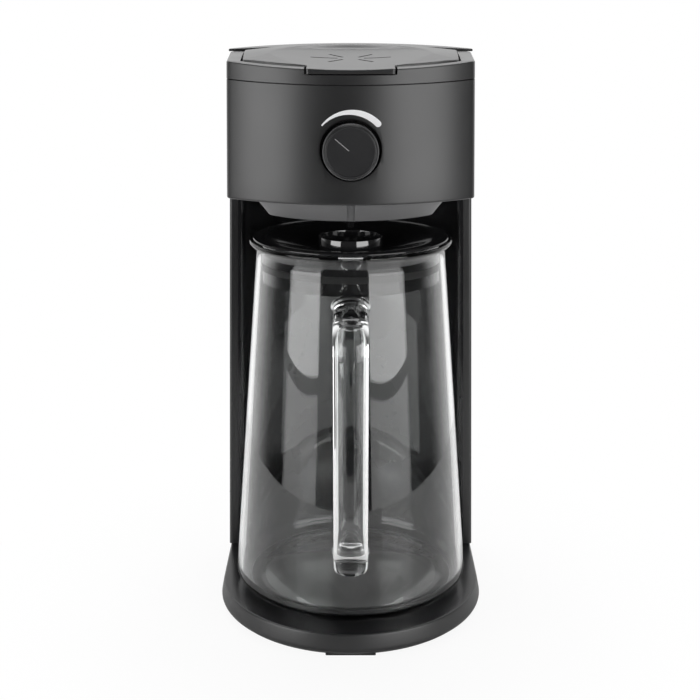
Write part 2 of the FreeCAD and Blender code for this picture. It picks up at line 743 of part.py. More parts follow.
def make_wires():
    radius = 1.1
    gland = num("GlandZ")
    terminal = num("ElementZ")
    from_gland = [V(-2, 113, gland), V(-36, 110, gland - 3), V(-62, 84, gland - 2),
                  V(-64, 66, 33), V(-64, 66, 42)]
    from_switch = [V(-66, 70, 42), V(-66, 72, 30), V(-62, 92, 29), V(-49, 100, terminal - 1)]
    to_element = [V(2, 113, gland), V(44, 108, gland + 1), V(47, 107, terminal), V(46, 101.8, terminal + 0.2)]
    return swept("inner_wires", [pipe_along(from_gland, [8, 9, 6], radius),
                                 pipe_along(from_switch, [4, 4], radius),
                                 pipe_along(to_element, [3, 2], radius)])


def make_gland():
    flange = cylinder("GlandRadius+2.5", "1.4", ("0", "GlandY", "GlandZ"), "Y")
    sleeve = cylinder("GlandRadius-0.05", "9", ("0", "GlandY-9", "GlandZ"), "Y")
    bore = cylinder("GlandBore", "13", ("0", "GlandY-10", "GlandZ"), "Y")
    return keep(cut(fuse([flange, sleeve]), [bore]), "cord_gland")


# Power switch in the left side of the tower

def make_switch_case():
    face = "(SwitchFace)"
    flange = box(("-%s" % face, "SwitchY-SwitchHalf-1.2", "SwitchZ-SwitchTall-1.2"),
                 ("1.2", "2*SwitchHalf+2.4", "2*SwitchTall+2.4"))
    case = box(("-%s" % face, "SwitchY-SwitchHalf+0.1", "SwitchZ-SwitchTall+0.1"),
               ("16", "2*SwitchHalf-0.2", "2*SwitchTall-0.2"))
    room = box(("-%s-1" % face, "SwitchY-SwitchHalf+1.5", "SwitchZ-SwitchTall+1.5"),
               ("9", "2*SwitchHalf-3", "2*SwitchTall-3"))
    bores = cylinder("1.3", "2*SwitchHalf-1", ("-SwitchFace+3.6", "SwitchY-SwitchHalf+0.5", "SwitchZ"), "Y")
    return keep(cut(fuse([flange, case]), [room, bores]), "switch_case")


def make_switch_rocker():
    body = new_body("SwitchRocker")
    sketch = new_sketch(body, "XZ_Plane", "-SwitchY")
    out = "-SwitchFace-1.2"
    draw_loop(sketch, [(out, "SwitchZ-SwitchTall+2.7"), ("-SwitchFace+4.5", "SwitchZ-SwitchTall+2.9"),
                       ("-SwitchFace+4.5", "SwitchZ+SwitchTall-2.8"),
                       ("-SwitchFace+0.4", "SwitchZ+SwitchTall-2.4"), ("-SwitchFace-0.2", "SwitchZ")])
    pad(body, sketch, "2*SwitchHalf-3.8", midplane=True)
    pivot = cylinder("2.2", "2*SwitchHalf-3.8", ("-SwitchFace+3.6", "SwitchY-SwitchHalf+1.9", "SwitchZ"), "Y")
    pins = cylinder("1.2", "2*SwitchHalf-1.2", ("-SwitchFace+3.6", "SwitchY-SwitchHalf+0.6", "SwitchZ"), "Y")
    return keep(fuse([body, pivot, pins]), "switch_rocker")


# Head

def head_solid(name, inset, low, high):
    body = new_body(name)
    loft(body, "AdditiveLoft", [(low, head_outline(low, inset)), (high, head_outline(high, inset))])
    return body


def slope_cutter(name, front_height, level, high):
    """Everything above a level that dips towards the front centre, up to a height."""
    body = new_body(name)
    sketch = new_sketch(body, "YZ_Plane")
    slope = "((%s)-(%s))/(HeadFront-HeadCorner)" % (level, front_height)
    draw_loop(sketch, [("-HeadFront-20", "(%s)-20*%s" % (front_height, slope)),
                       ("-HeadCorner", level),
                       ("BaseReach+20", level),
                       ("BaseReach+20", high),
                       ("-HeadFront-20", high)])
    pad(body, sketch, "200", midplane=True)
    return body


def make_head_shell():
    skin = head_solid("HeadSkin", "0", "HeadBottom", "SeamHeight+2")
    room = head_solid("HeadRoom", "Wall", "HeadBottom-1", "SeamHeight+3")
    above = slope_cutter("HeadSeam", "SeamFront", "SeamHeight", "SeamHeight+20")
    knob_hole = cylinder("CupOuter", "20", ("0", "-HeadFront-5", "KnobHeight"), "Y")
    shell = cut(skin, [room, above, knob_hole])
    bosses = [tube("BossRadius", "ScrewRadius", "9", (x, y, "HeadBottom+Wall")) for x, y in HEAD_SCREWS]
    ribs = []
    for x, y in HEAD_SCREWS:
        low_x = "(%s)-14" % x if x.startswith("-") else x
        ribs.append(cut(box((low_x, "(%s)-1" % y, "HeadBottom+Wall"), ("14", "2", "9")),
                        [cylinder("BossRadius-0.5", "10", (x, y, "HeadBottom+Wall-0.5"))]))
    inside = [common(rib, head_solid("RibRoom", "Wall/2", "HeadBottom", "SeamHeight")) for rib in ribs]
    return keep(fuse([shell] + bosses + inside), "head_shell")


HEAD_SCREWS = [("-HeadScrewX", "-HeadScrewY"), ("HeadScrewX", "-HeadScrewY"),
               ("-HeadScrewX-3", "HeadScrewY+10"), ("HeadScrewX+3", "HeadScrewY+10")]


def make_knob_cup():
    front = head_solid("CupRoom", "0", "HeadBottom", "SeamHeight")
    outer = cylinder("CupOuter", "HeadFront-CupBack+3", ("0", "-HeadFront-3", "KnobHeight"), "Y")
    recess = cylinder("CupRadius", "HeadFront-CupFloor+5", ("0", "-HeadFront-5", "KnobHeight"), "Y")
    bore = cylinder("SpindleRadius+RunningFit", "20", ("0", "-HeadFront", "KnobHeight"), "Y")
    return keep(cut(common(outer, front), [recess, bore]), "knob_cup")


def make_head_screws():
    return keep(fuse([screw(x, y, "HeadBottom", "9") for x, y in HEAD_SCREWS]), "head_screws")


def make_brew_well():
    body = new_body("WellSkin")
    floor_top = "HeadBottom+Wall"
    loft(body, "AdditiveLoft", [("WellBottom", well_outline("0")),
                                ("WellBottom+2.2", well_outline("1.4")),
                                ("HeadBottom+0.2", well_outline("WellFlare"))])
    loft(body, "SubtractiveLoft", [("WellBottom+2", well_outline("-2.2")),
                                   ("HeadBottom+0.2", well_outline("WellFlare-2.6"))])
    plate = new_body("WellPlate")
    sketch = new_sketch(plate, "XY_Plane", "HeadBottom")
    draw_loop(sketch, head_outline("HeadBottom", "Wall+0.15"))
    pad(plate, sketch, "Wall")
    rear_edge = box(("-BaseRadius", "WingFront+Wall", "HeadBottom-1"), ("2*BaseRadius", "100", "Wall+2"))
    wall = tube("WellRadius+WellWall", "WellRadius", "WellTop-WellBottom-2", ("0", "0", "WellBottom+2"))
    flange = tube("WellRadius+WellWall+6", "WellRadius", "2", ("0", "0", "WellTop-2"))
    inside = cylinder("WellRadius", "40", ("0", "0", "WellBottom+2"))
    nozzle_hole = cylinder("NozzleRadius+1.5", "10", ("0", "0", "WellBottom-2"))
    port = cylinder("2.5", "8", ("0", "-WellRadius-4", "KnobHeight+6"), "Y")
    screw_holes = [cylinder("ScrewRadius", "10", (x, y, "HeadBottom-1")) for x, y in HEAD_SCREWS]
    lower = cut(fuse([body, plate, wall]), [rear_edge, inside])
    return keep(cut(fuse([lower, flange]), [nozzle_hole, port] + screw_holes), "brew_well")


# Brew basket, filter and drip valve

def make_brew_basket():
    body = turned_body("BrewBasket", [
        ("0", "BasketBottom"), ("BasketRadius-3", "BasketBottom"), ("BasketRadius", "BasketBottom+3"),
        ("BasketRadius", "WellTop+Gap"), ("WellRadius+4", "WellTop+Gap"), ("WellRadius+4", "BasketTop-1"),
        ("BasketRadius-2", "BasketTop-1"), ("BasketRadius-2", "LedgeHeight"),
        ("BasketRadius-5", "LedgeHeight"), ("BasketRadius-6", "BasketBottom+2"), ("0", "BasketBottom+2")])
    nozzle = new_sketch(body, "XY_Plane", "NozzleBottom")
    draw_circle(nozzle, "NozzleRadius")
    pad(body, nozzle, "BasketBottom-NozzleBottom+0.5")
    bore = new_sketch(body, "XY_Plane", "BasketBottom")
    draw_circle(bore, "NozzleBore")
    pocket(body, bore, "BasketBottom-NozzleBottom")
    drain = new_sketch(body, "XY_Plane", "BasketBottom+2")
    draw_circle(drain, "3.1")
    pocket(body, drain, "4")
    return keep(body, "brew_basket")


def make_filter_frame():
    low = "LedgeHeight"
    sleeve = tube("FilterRadius", "FilterRadius-2", "FilterTop-LedgeHeight", ("0", "0", low))
    lip = tube("FilterRadius+1.2", "FilterRadius-1", "2", ("0", "0", "FilterTop-2"))
    floor = cylinder("FilterRadius-1", "1.2", ("0", "0", low))
    windows = []
    for i in range(4):
        window = doc.addObject("Part::Box", "Window")
        window.setExpression("Length", ex("2*FilterRadius+2"))
        window.setExpression("Width", "22.5")
        window.setExpression("Height", ex("FilterTop-LedgeHeight-6"))
        spin = FreeCAD.Rotation(V(0, 0, 1), 45 * i)
        middle = V(-num("FilterRadius") - 1, -11.25, 0)
        window.Placement = FreeCAD.Placement(spin.multVec(middle) + V(0, 0, num("LedgeHeight+3")), spin)
        windows.append(window)
    openings = [cylinder("1", "4", (str(x), str(y), low + "-1"))
                for x in range(-21, 22, 7) for y in range(-21, 22, 7)]
    return keep(cut(fuse([cut(sleeve, windows), lip, floor]), openings), "filter_frame")


def make_filter_mesh():
    sleeve = tube("FilterRadius-2", "FilterRadius-2.35", "FilterTop-LedgeHeight-4",
                  ("0", "0", "LedgeHeight+2"))
    return keep(sleeve, "filter_mesh")


def make_drip_valve():
    low = "StemTip"
    return keep(turned_body("DripValve", [
        ("0", low), ("StemRadius-0.8", low), ("StemRadius", low + "+0.8"), ("StemRadius", "NozzleBottom+1.4"),
        ("4.3", "NozzleBottom+1.4"), ("4.3", "NozzleBottom+3"), ("StemRadius", "NozzleBottom+3"),
        ("StemRadius", "BasketBottom+2.65"), ("6.5", "BasketBottom+2.65"), ("6.5", "BasketBottom+4"),
        ("0", "BasketBottom+4")]), "drip_valve")


def make_valve_seal():
    return keep(tube("6.2", "StemRadius", "0.6", ("0", "0", "BasketBottom+2.05")), "valve_seal")


def make_valve_spring():
    """Four turns of wire as short straight runs with tangent arcs between them."""
    wire_radius = 0.35
    corner_radius = 3.4
    sides = 8
    low = num("NozzleBottom+3") + wire_radius + 0.03
    height = num("BasketBottom") - low - wire_radius - 0.03
    points = []
    for i in range(4 * sides + 1):
        angle = 2 * math.pi * i / sides
        level = low + height * i / (4 * sides)
        points.append(V(corner_radius * math.cos(angle), corner_radius * math.sin(angle), level))
    bend = 0.45 * (points[1] - points[0]).Length / math.tan(math.pi / sides)
    return swept("valve_spring", [pipe_along(points, [bend] * (len(points) - 2), wire_radius)])


# Knob with its spindle and the selector disc behind it

def make_knob():
    body = new_body("StrengthKnob")
    face = new_sketch(body, "XZ_Plane", "KnobBack")
    draw_circle(face, "KnobRadius", "0", "KnobHeight")
    pad(body, face, "KnobFront-KnobBack-3")
    step = new_sketch(body, "XZ_Plane", "KnobFront-3")
    draw_circle(step, "KnobRadius", "0", "KnobHeight")
    front = new_sketch(body, "XZ_Plane", "KnobFront")
    draw_circle(front, "KnobFaceRadius", "0", "KnobHeight")
    doc.recompute()
    bevel = body.newObject("PartDesign::AdditiveLoft", "Bevel")
    bevel.Profile = step
    bevel.Sections = [front]
    bevel.Ruled = True
    doc.recompute()
    hub = new_sketch(body, "XZ_Plane", "KnobBack")
    draw_circle(hub, "SpindleRadius", "0", "KnobHeight")
    pocket(body, hub, "9", upwards=True)
    groove = new_sketch(body, "XZ_Plane", "KnobFront")
    angle = math.radians(num("PointerAngle"))
    across = V(math.cos(angle), math.sin(angle), 0) * num("PointerWidth") * 0.5
    along = V(-math.sin(angle), math.cos(angle), 0)
    low, high = along * num("PointerStart"), along * num("PointerEnd")
    corners = [low - across, low + across, high + across, high - across]
    draw_loop(groove, [(repr(p.x), "KnobHeight+(%r)" % p.y) for p in corners])
    pocket(body, groove, "0.4")
    return keep(body, "strength_knob")


def make_spindle():
    shaft = cylinder("SpindleRadius", "9+KnobBack-WellRadius-WellWall-1.4",
                     ("0", "-KnobBack-9", "KnobHeight"), "Y")
    clip = cylinder("SpindleRadius+1.4", "0.7", ("0", "-CupBack+1.2", "KnobHeight"), "Y")
    return keep(fuse([shaft, clip]), "knob_spindle")


def make_spindle_seal():
    return keep(tube("SpindleRadius+2.4", "SpindleRadius+RunningFit", "0.9",
                     ("0", "-CupBack", "KnobHeight"), "Y"), "spindle_seal")


def make_selector_disc():
    plate = cylinder("9.5", "1.6", ("0", "-WellRadius-WellWall-2.2", "KnobHeight"), "Y")
    shaft = cylinder("SpindleRadius", "4", ("0", "-WellRadius-WellWall-3", "KnobHeight"), "Y")
    port = cylinder("2.5", "4", ("6", "-WellRadius-WellWall-3", "KnobHeight"), "Y")
    return keep(cut(plate, [shaft, port]), "selector_disc")


# Top frame, top lid and rear cover

def lid_room(name, grow, low, high):
    body = new_body(name)
    sketch = new_sketch(body, "XY_Plane", low)
    draw_loop(sketch, lid_outline(grow))
    pad(body, sketch, "(%s)-(%s)" % (high, low))
    return body


def tank_mouth(name, inset):
    """The hole in the top frame over the water tank."""
    body = new_body(name)
    sketch = new_sketch(body, "XY_Plane", "SeamFront-5")
    half = "(HeadRearHalf-HeadRearDraft*70-(%s))" % inset
    reach = "(HeadReach-HeadReachDraft*70-(%s))" % inset
    draw_loop(sketch, [("-%s" % half, "CrossbarBack"), (half, "CrossbarBack"),
                       (half, "SideEnd", "y", rear_centre(half, reach), "ccw"),
                       ("-%s" % half, "SideEnd")])
    pad(body, sketch, "30")
    return body


def make_top_frame():
    skin = head_solid("FrameSkin", "0", "SeamFront-1", "HeadTop+2")
    dip = slope_cutter("FrameSeam", "SeamFront", "SeamHeight", "HeadTop+5")
    above = slope_cutter("FrameTop", "FrontTop", "HeadTop", "HeadTop+20")
    body = cut(common(skin, dip), [above])
    lid_hole = lid_room("FrameLidHole", "SlotGap", "SeamFront-5", "HeadTop+10")
    lid_hole_rear = box(("-LidRearHalf-SlotGap", "HingeY", "SeamFront-5"),
                        ("2*LidRearHalf+2*SlotGap", "CrossbarFront-HingeY", "30"))
    mouth = tank_mouth("FrameMouth", "6")
    notch = box(("-TabHalf-1.1", "-HeadFront-5", "TabBottom-0.7"), ("2*TabHalf+2.2", "30", "20"))
    pins = cylinder("PinRadius", "200", ("-100", "HingeY", "HingeZ"), "X")
    return keep(cut(body, [lid_hole, lid_hole_rear, mouth, notch, pins]), "top_frame")


def scoop(name, drop):
    """The round scoop in the lid: a tilted trough, bounded by an upright cylinder."""
    trough = doc.addObject("Part::Cylinder", name)
    trough.setExpression("Radius", ex("ScoopCurve+(%s)" % drop))
    trough.setExpression("Height", "400")
    tilt = FreeCAD.Rotation(V(1, 0, 0), num("ScoopTilt")).multiply(TURNS["Y"])
    set_place(trough, ("0", "-HeadFront-200*cos(ScoopTilt*1deg)-ScoopCurve*sin(ScoopTilt*1deg)",
                       "FrontTop+ScoopCurve*cos(ScoopTilt*1deg)-200*sin(ScoopTilt*1deg)"), tilt)
    bound = cylinder("ScoopRadius+(%s)" % drop, "60", ("0", "-ScoopY", "LidBottom-20"))
    front = box(("-TabHalf-8", "-HeadFront-10", "LidBottom-20"), ("2*TabHalf+16", "HeadFront-ScoopY", "60"))
    return common(trough, fuse([bound, front]))


def lid_form(name, inset, shave):
    """The lid's outer form, or the room inside it."""
    plan = lid_room(name + "Plan", "-(%s)" % inset, "LidBottom-0.5*(%s)" % shave, "LidCrest+5")
    tab = box(("-TabHalf+(%s)" % inset, "-TabFront+(%s)" % inset, "TabBottom+(%s)" % shave),
              ("2*TabHalf-2*(%s)" % inset, "TabFront-LidCorner", "20"))
    dome = ball("DomeRadius-(%s)" % shave, ("0", "DomeY", "LidCrest-DomeRadius"))
    barrel = fuse([cylinder("BarrelRadius-(%s)" % shave, "200", ("-100", "HingeY", "HingeZ"), "X"),
                   box(("-100", "-100", "LidBottom-10"), ("200", "100+HingeY", "40"))])
    whole = common(fuse([plan, tab]), dome)
    return cut(common(whole, barrel), [scoop(name + "Scoop", shave)])


def make_top_lid():
    outside = lid_form("Lid", "0", "0")
    inside = lid_form("LidInside", "LidWall", "LidWall")
    post = tube("6.5", "4.6", "30", ("0", "-ShowerY", "ShowerTop+1.6"))
    inlet = channel(0, "10.6", "LidBottom+2.7", "LidBottom+4.8")
    post_in = cut(common(post, scoop_floor_room()), [inlet])
    ears = []
    for side in ("-", ""):
        ear_x = "EarX-2" if side == "" else "-EarX-2"
        ear = cylinder("4", "4", (ear_x, "HingeY", "HingeZ"), "X")
        ears.append(ear)
    bore = cylinder("PinRadius+RunningFit", "200", ("-100", "HingeY", "HingeZ"), "X")
    arrows = engraved_arrows()
    return keep(cut(fuse([cut(outside, [inside]), post_in] + ears), [bore, arrows]), "top_lid")


def scoop_floor_room():
    """Everything below the scoop's floor, as far as the wall under it."""
    block = box(("-20", "-60", "ShowerTop"), ("40", "90", "30"))
    return cut(block, [scoop("PostScoop", "1")])


def engraved_arrows():
    """Two arrows on the scoop's floor that point at each other."""
    body = new_body("Arrows")
    sketch = new_sketch(body, "XY_Plane", "FrontTop-5")
    for side in (-1, 1):
        tip = 4.5 * side
        tail = 23 * side
        low, high = min(tip + 3 * side, tail), max(tip + 3 * side, tail)
        draw_loop(sketch, rectangle(str(low), "-ScoopY-1", str(high), "-ScoopY+1"))
        for turn_side in (-1, 1):
            tip_point = V(tip, turn_side * 5, 0)
            end_point = V(tip + 8 * side, turn_side * 16.5, 0)
            across = (end_point - tip_point).cross(V(0, 0, 1)).normalize() * 0.8
            corners = [tip_point - across, end_point - across, end_point + across, tip_point + across]
            draw_loop(sketch, [(repr(p.x), "-ScoopY+(%r)" % p.y) for p in corners])
    pad(body, sketch, "20")
    floor = scoop("ArrowFloor", "0.5")
    return common(body, floor)


def make_hinge_pins():
    pins = []
    for low in ("-LidRearHalf-3.5", "EarX-3"):
        pins.append(cylinder("PinRadius", "LidRearHalf-EarX+6.5", (low, "HingeY", "HingeZ"), "X"))
    return keep(fuse(pins), "lid_hinge_pins")


def make_shower_plate():
    plate = cylinder("ShowerRadius", "1.6", ("0", "-ShowerY", "ShowerTop"))
    rim = tube("ShowerRadius", "ShowerRadius-1.4", "2", ("0", "-ShowerY", "ShowerTop+1.6"))
    holes = []
    for radius, count in ((9, 6), (14, 10), (19, 14)):
        for i in range(count):
            angle = 2 * math.pi * i / count
            holes.append(cylinder("1.1", "6", (repr(radius * math.cos(angle)),
                                               repr(radius * math.sin(angle)) + "-ShowerY", "ShowerTop-2")))
    return keep(cut(fuse([plate, rim]), holes), "shower_plate")


def channel(start, width, low, high):
    """An upright slab from behind the spout's nozzle to the post over the shower plate."""
    nozzle = V(47.9, 50, 0)
    run = V(0, -num("ShowerY"), 0) - nozzle
    slab = doc.addObject("Part::Box", "Channel")
    slab.Length = run.Length + start
    slab.setExpression("Width", ex(width))
    slab.setExpression("Height", ex("(%s)-(%s)" % (high, low)))
    spin = FreeCAD.Rotation(V(0, 0, 1), math.degrees(math.atan2(run.y, run.x)))
    corner = nozzle + spin.multVec(V(-start, -num(width) / 2, num(low)))
    slab.Placement = FreeCAD.Placement(corner, spin)
    return slab


def make_lid_gutter():
    """A channel in the lid that takes the water from the spout to the shower plate."""
    trough = cut(channel(7, "13", "LidBottom+1.5", "LidBottom+4.8"),
                 [channel(5.8, "10.6", "LidBottom+2.7", "LidBottom+6")])
    nozzle_hole = cylinder("5", "6", ("47.9", "50", "LidBottom"))
    post = cylinder("6.5", "20", ("0", "-ShowerY", "ShowerTop"))
    return keep(cut(trough, [nozzle_hole, post]), "lid_gutter")


def make_rear_cover():
    body = new_body("CoverPlan")
    sketch = new_sketch(body, "XY_Plane", "HeadTop")
    draw_loop(sketch, [("-CoverHalf", "CoverFront"), ("CoverHalf", "CoverFront"),
                       ("CoverHalf", "SideEnd+2", "y", "CoverReach-(CoverHalf^2+(CoverReach-SideEnd-2)^2)"
                        "/(2*(CoverReach-SideEnd-2))", "ccw"), ("-CoverHalf", "SideEnd+2")])
    pad(body, sketch, "10")
    plate = common(body, ball("CoverCurve", ("0", "100", "CoverCrest-CoverCurve")))
    outer = tank_mouth("CoverRim", "7")
    inner = tank_mouth("CoverRimRoom", "8.6")
    skirt_low = box(("-90", "CoverFront", "HeadTop-5"), ("180", "60", "5.2"))
    skirt = common(cut(outer, [inner]), skirt_low)
    return keep(fuse([plate, skirt]), "rear_cover")


# Jug

def make_jug():
    slope = "((JugWide-NeckRadius)/(NeckHeight-JugWideHeight))"
    body = turned_body("Jug", [
        ("0", "JugBottom"), ("JugFlat", "JugBottom", "x", "JugFlat", "ccw"), ("JugWide", "JugWideHeight"),
        ("NeckRadius", "NeckHeight"), ("LipRadius", "LipHeight-1.5"), ("LipRadius-0.8", "LipHeight"),
        ("0", "LipHeight")])
    path = new_sketch(body, "YZ_Plane")
    add_path(path, [("-NeckRadius+1", "HandleTop"), ("-HandleY", "HandleTop"),
                    ("-HandleY", "HandleBottom"), ("-JugWide+6", "HandleBottom")],
             ["UpperBend", "LowerBend"])
    section = new_sketch(body, "XZ_Plane", "NeckRadius-1")
    ellipse = Part.Ellipse(V(0, num("HandleTop"), 0), num("HandleHalf"), num("HandleDepth"))
    shape = section.addGeometry(ellipse)
    pin_to(section, shape, 3, "DistanceX", "0")
    pin_to(section, shape, 3, "DistanceY", "HandleTop")
    doc.recompute()
    handle = body.newObject("PartDesign::AdditivePipe", "Handle")
    handle.Profile = section
    handle.Spine = path
    doc.recompute()
    inside = new_sketch(body, "XZ_Plane")
    draw_loop(inside, [
        ("0", "JugBottom+GlassWall+1.5"), ("JugFlat-1", "JugBottom+GlassWall+1.5", "x", "JugFlat-1", "ccw"),
        ("JugWide-GlassWall", "JugWideHeight+3"), ("NeckRadius-GlassWall", "NeckHeight"),
        ("LipRadius-GlassWall-0.4", "LipHeight+0.5"), ("0", "LipHeight+0.5")])
    turn(body, "Groove", inside)
    return keep(body, "jug_glass")


def add_path(sketch, corners, bends):
    """An open path of straight runs and quarter bends, fixed in place."""
    points = [V(num(x), num(y), 0) for x, y in corners]
    start = points[0]
    for i in range(1, len(points) - 1):
        before = (points[i - 1] - points[i]).normalize()
        after = (points[i + 1] - points[i]).normalize()
        radius = num(bends[i - 1])
        enter = points[i] + before * radius
        leave = points[i] + after * radius
        middle = points[i] + (before + after) * radius * (1 - math.sqrt(0.5))
        sketch.addGeometry(Part.LineSegment(start, enter))
        sketch.addGeometry(Part.Arc(enter, middle, leave))
        start = leave
    sketch.addGeometry(Part.LineSegment(start, points[-1]))
    doc.recompute()


def make_jug_lid():
    neck = "NeckRadius-GlassWall"
    return keep(turned_body("JugLid", [
        ("8", "LipHeight-14"), ("10", "LipHeight-14"), ("(%s)-6" % neck, "LipHeight-3"),
        ("(%s)-2.6" % neck, "LipHeight-5"), ("(%s)-2.6" % neck, "LidSkirtBottom"),
        ("(%s)-0.8" % neck, "LidSkirtBottom"), ("(%s)-0.8" % neck, "LipHeight-1.5"),
        ("LipRadius-GlassWall-1.2", "LipHeight+0.3"), ("LipRadius-2.2", "LipHeight+0.4"),
        ("LipRadius-2.2", "LipHeight+1.6"), ("(%s)-4" % neck, "LipHeight+1.6"),
        ("8", "LipHeight-11.5")]), "jug_lid")


def make_lid_seal():
    return keep(turned_body("LidSeal", [
        ("NeckRadius-GlassWall-0.8", "NeckHeight-9"), ("NeckRadius-GlassWall-0.35", "NeckHeight-9"),
        ("NeckRadius-GlassWall-0.35", "NeckHeight-5"), ("NeckRadius-GlassWall-0.8", "NeckHeight-5")]),
        "jug_lid_seal")


MAKERS = [
    make_base_shell, make_base_plate, make_feet, make_base_screws,
    make_tower_shell, make_bay_panel, make_tower_screws,
    make_tank, make_check_valve, make_feed_hose, make_hose_clips,
    make_heater_block, make_heating_element, make_heater_bracket, make_thermostat, make_thermal_fuse,
    make_riser_hose, make_spout, make_wires, make_gland,
    make_switch_case, make_switch_rocker,
    make_head_shell, make_knob_cup, make_head_screws, make_brew_well,
    make_brew_basket, make_filter_frame, make_filter_mesh,
    make_drip_valve, make_valve_seal, make_valve_spring,
    make_knob, make_spindle, make_spindle_seal, make_selector_disc,
    make_top_frame, make_top_lid, make_hinge_pins, make_shower_plate, make_lid_gutter, make_rear_cover,
    make_jug, make_jug_lid, make_lid_seal,
]

for maker in MAKERS:
    maker()
doc.recompute()

faults = []
for obj in doc.Objects:
    if "Invalid" in obj.State or "Error" in obj.State:
        faults.append("%s %s %s" % (obj.Name, obj.Label, obj.State))
for piece in SUB_PARTS:
    if piece.Shape.isNull() or not piece.Shape.isValid() or piece.Shape.Volume <= 0:
        faults.append("bad shape " + piece.Label)
if faults:
    raise RuntimeError("; ".join(faults))

os.makedirs("parts", exist_ok=True)
for piece in SUB_PARTS:
    piece.Shape.exportStep("parts/%s.step" % piece.Label)
    bounds = piece.Shape.optimalBoundingBox()
    print("%-18s solids %2d volume %9.0f  x %6.1f %6.1f  y %6.1f %6.1f  z %6.1f %6.1f" % (
        piece.Label, len(piece.Shape.Solids), piece.Shape.Volume, bounds.XMin, bounds.XMax,
        bounds.YMin, bounds.YMax, bounds.ZMin, bounds.ZMax))
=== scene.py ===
import math

import bpy
import bmesh
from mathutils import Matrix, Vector


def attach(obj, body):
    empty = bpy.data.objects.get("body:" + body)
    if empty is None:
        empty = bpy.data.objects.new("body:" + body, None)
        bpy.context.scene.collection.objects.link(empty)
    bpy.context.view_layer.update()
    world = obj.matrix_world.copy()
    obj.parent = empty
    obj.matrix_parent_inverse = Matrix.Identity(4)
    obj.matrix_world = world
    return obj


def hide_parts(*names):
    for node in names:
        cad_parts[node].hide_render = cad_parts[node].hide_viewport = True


# Lengths below are in millimetres, measured from the jug's upright axis, with the front towards -Y
# and heights from LIFT above the table. They are turned into the frame's metres where a mesh is made.

AXIS_Y = -9.1
LIFT = 2.0
SIDE_END = 80
DECK_TOP = 13.5
PAD_TOP = 14.5
HEAD_BOTTOM = 264.8
KNOB_HEIGHT = 295
HINGE_Y = 66
HINGE_HEIGHT = 338.5
ARROWS_Y = -12
TANK_HALF = 77.3
TANK_REACH = 119.68
NEARLY_ZERO = 0.0005
FLOOR_RADIUS = 0.42

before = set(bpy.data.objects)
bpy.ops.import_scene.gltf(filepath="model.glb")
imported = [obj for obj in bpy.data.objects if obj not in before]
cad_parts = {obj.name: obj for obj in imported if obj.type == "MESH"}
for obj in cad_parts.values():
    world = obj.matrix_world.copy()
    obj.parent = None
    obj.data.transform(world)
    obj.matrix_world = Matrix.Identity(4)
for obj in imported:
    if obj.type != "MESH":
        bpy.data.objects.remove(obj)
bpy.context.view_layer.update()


def place(x, y, z):
    return Vector((x, y + AXIS_Y, z + LIFT)) * 0.001


# Outlines in plan

def bend(a, corner, b, t):
    """A point on the rounded corner that leaves a towards corner and ends at b."""
    return a * (1 - t) ** 2 + corner * 2 * t * (1 - t) + b * t ** 2


def straight(a, b):
    a, b = Vector(a), Vector(b)
    return (lambda t: a.lerp(b, t)), (b - a).length


def curved(a, b, centre):
    """An arc from a to b, counterclockwise."""
    a, b, centre = Vector(a), Vector(b), Vector(centre)
    radius = (a - centre).length
    start = math.atan2(a.y - centre.y, a.x - centre.x)
    end = math.atan2(b.y - centre.y, b.x - centre.x)
    if end <= start:
        end += 2 * math.pi

    def point(t):
        angle = start + (end - start) * t
        return centre + Vector((math.cos(angle), math.sin(angle))) * radius
    return point, radius * (end - start)


def closed_ring(portions, cuts, counts, steps=6):
    """Points round a closed outline, with corner i rounded off cuts[i] before and after it."""
    points = []
    total = len(portions)
    for i in range(total):
        shape, length = portions[i]
        before, before_length = portions[i - 1]
        start, end = cuts[i], cuts[(i + 1) % total]
        if start > 0:
            a = before(1 - start / before_length)
            corner = shape(0)
            b = shape(start / length)
            for k in range(1, steps):
                points.append(bend(a, corner, b, k / steps))
        last = counts[i] if end > 0 else counts[i] - 1
        for k in range(last + 1):
            points.append(shape((start + (length - start - end) * k / counts[i]) / length))
    return points


def sag_centre(half, reach, side):
    sag = reach - side
    return reach - (half * half + sag * sag) / (2 * sag)


def base_ring(inset):
    cut = 9
    half = 84 - inset
    reach = 126 - inset
    centre = sag_centre(half, reach, SIDE_END)
    portions = [curved((-half, 0), (half, 0), (0, 0)),
                straight((half, 0), (half, SIDE_END)),
                curved((half, SIDE_END), (-half, SIDE_END), (0, centre)),
                straight((-half, SIDE_END), (-half, 0))]
    return closed_ring(portions, [0, 0, cut, cut], [72, 14, 48, 14])


def tower_sizes(z, inset):
    rise = z - DECK_TOP
    return (83.2 - 0.02605 * rise - inset, 83.6 - 0.0180 * rise - inset,
            124.5 - 0.0165 * rise - inset)


def bay_radius(z):
    return 87.3 - 0.0199 * (z - DECK_TOP)


def head_sizes(z, inset):
    rise = z - HEAD_BOTTOM
    return (70.7 - 0.0221 * rise - inset, 79.3 - 0.0286 * rise - inset,
            121.5 - 0.026 * rise - inset)


def head_ring(z, inset):
    front_cut, rear_cut = 2.5, 9
    half, rear_half, reach = head_sizes(z, inset)
    front, corner = 60 - inset, 35 - inset
    front_centre = -sag_centre(half, front, corner)
    rear_centre = sag_centre(rear_half, reach, SIDE_END)
    portions = [curved((-half, -corner), (half, -corner), (0, front_centre)),
                straight((half, -corner), (rear_half, SIDE_END)),
                curved((rear_half, SIDE_END), (-rear_half, SIDE_END), (0, rear_centre)),
                straight((-rear_half, SIDE_END), (-half, -corner))]
    return closed_ring(portions, [front_cut, front_cut, rear_cut, rear_cut], [64, 24, 48, 24])


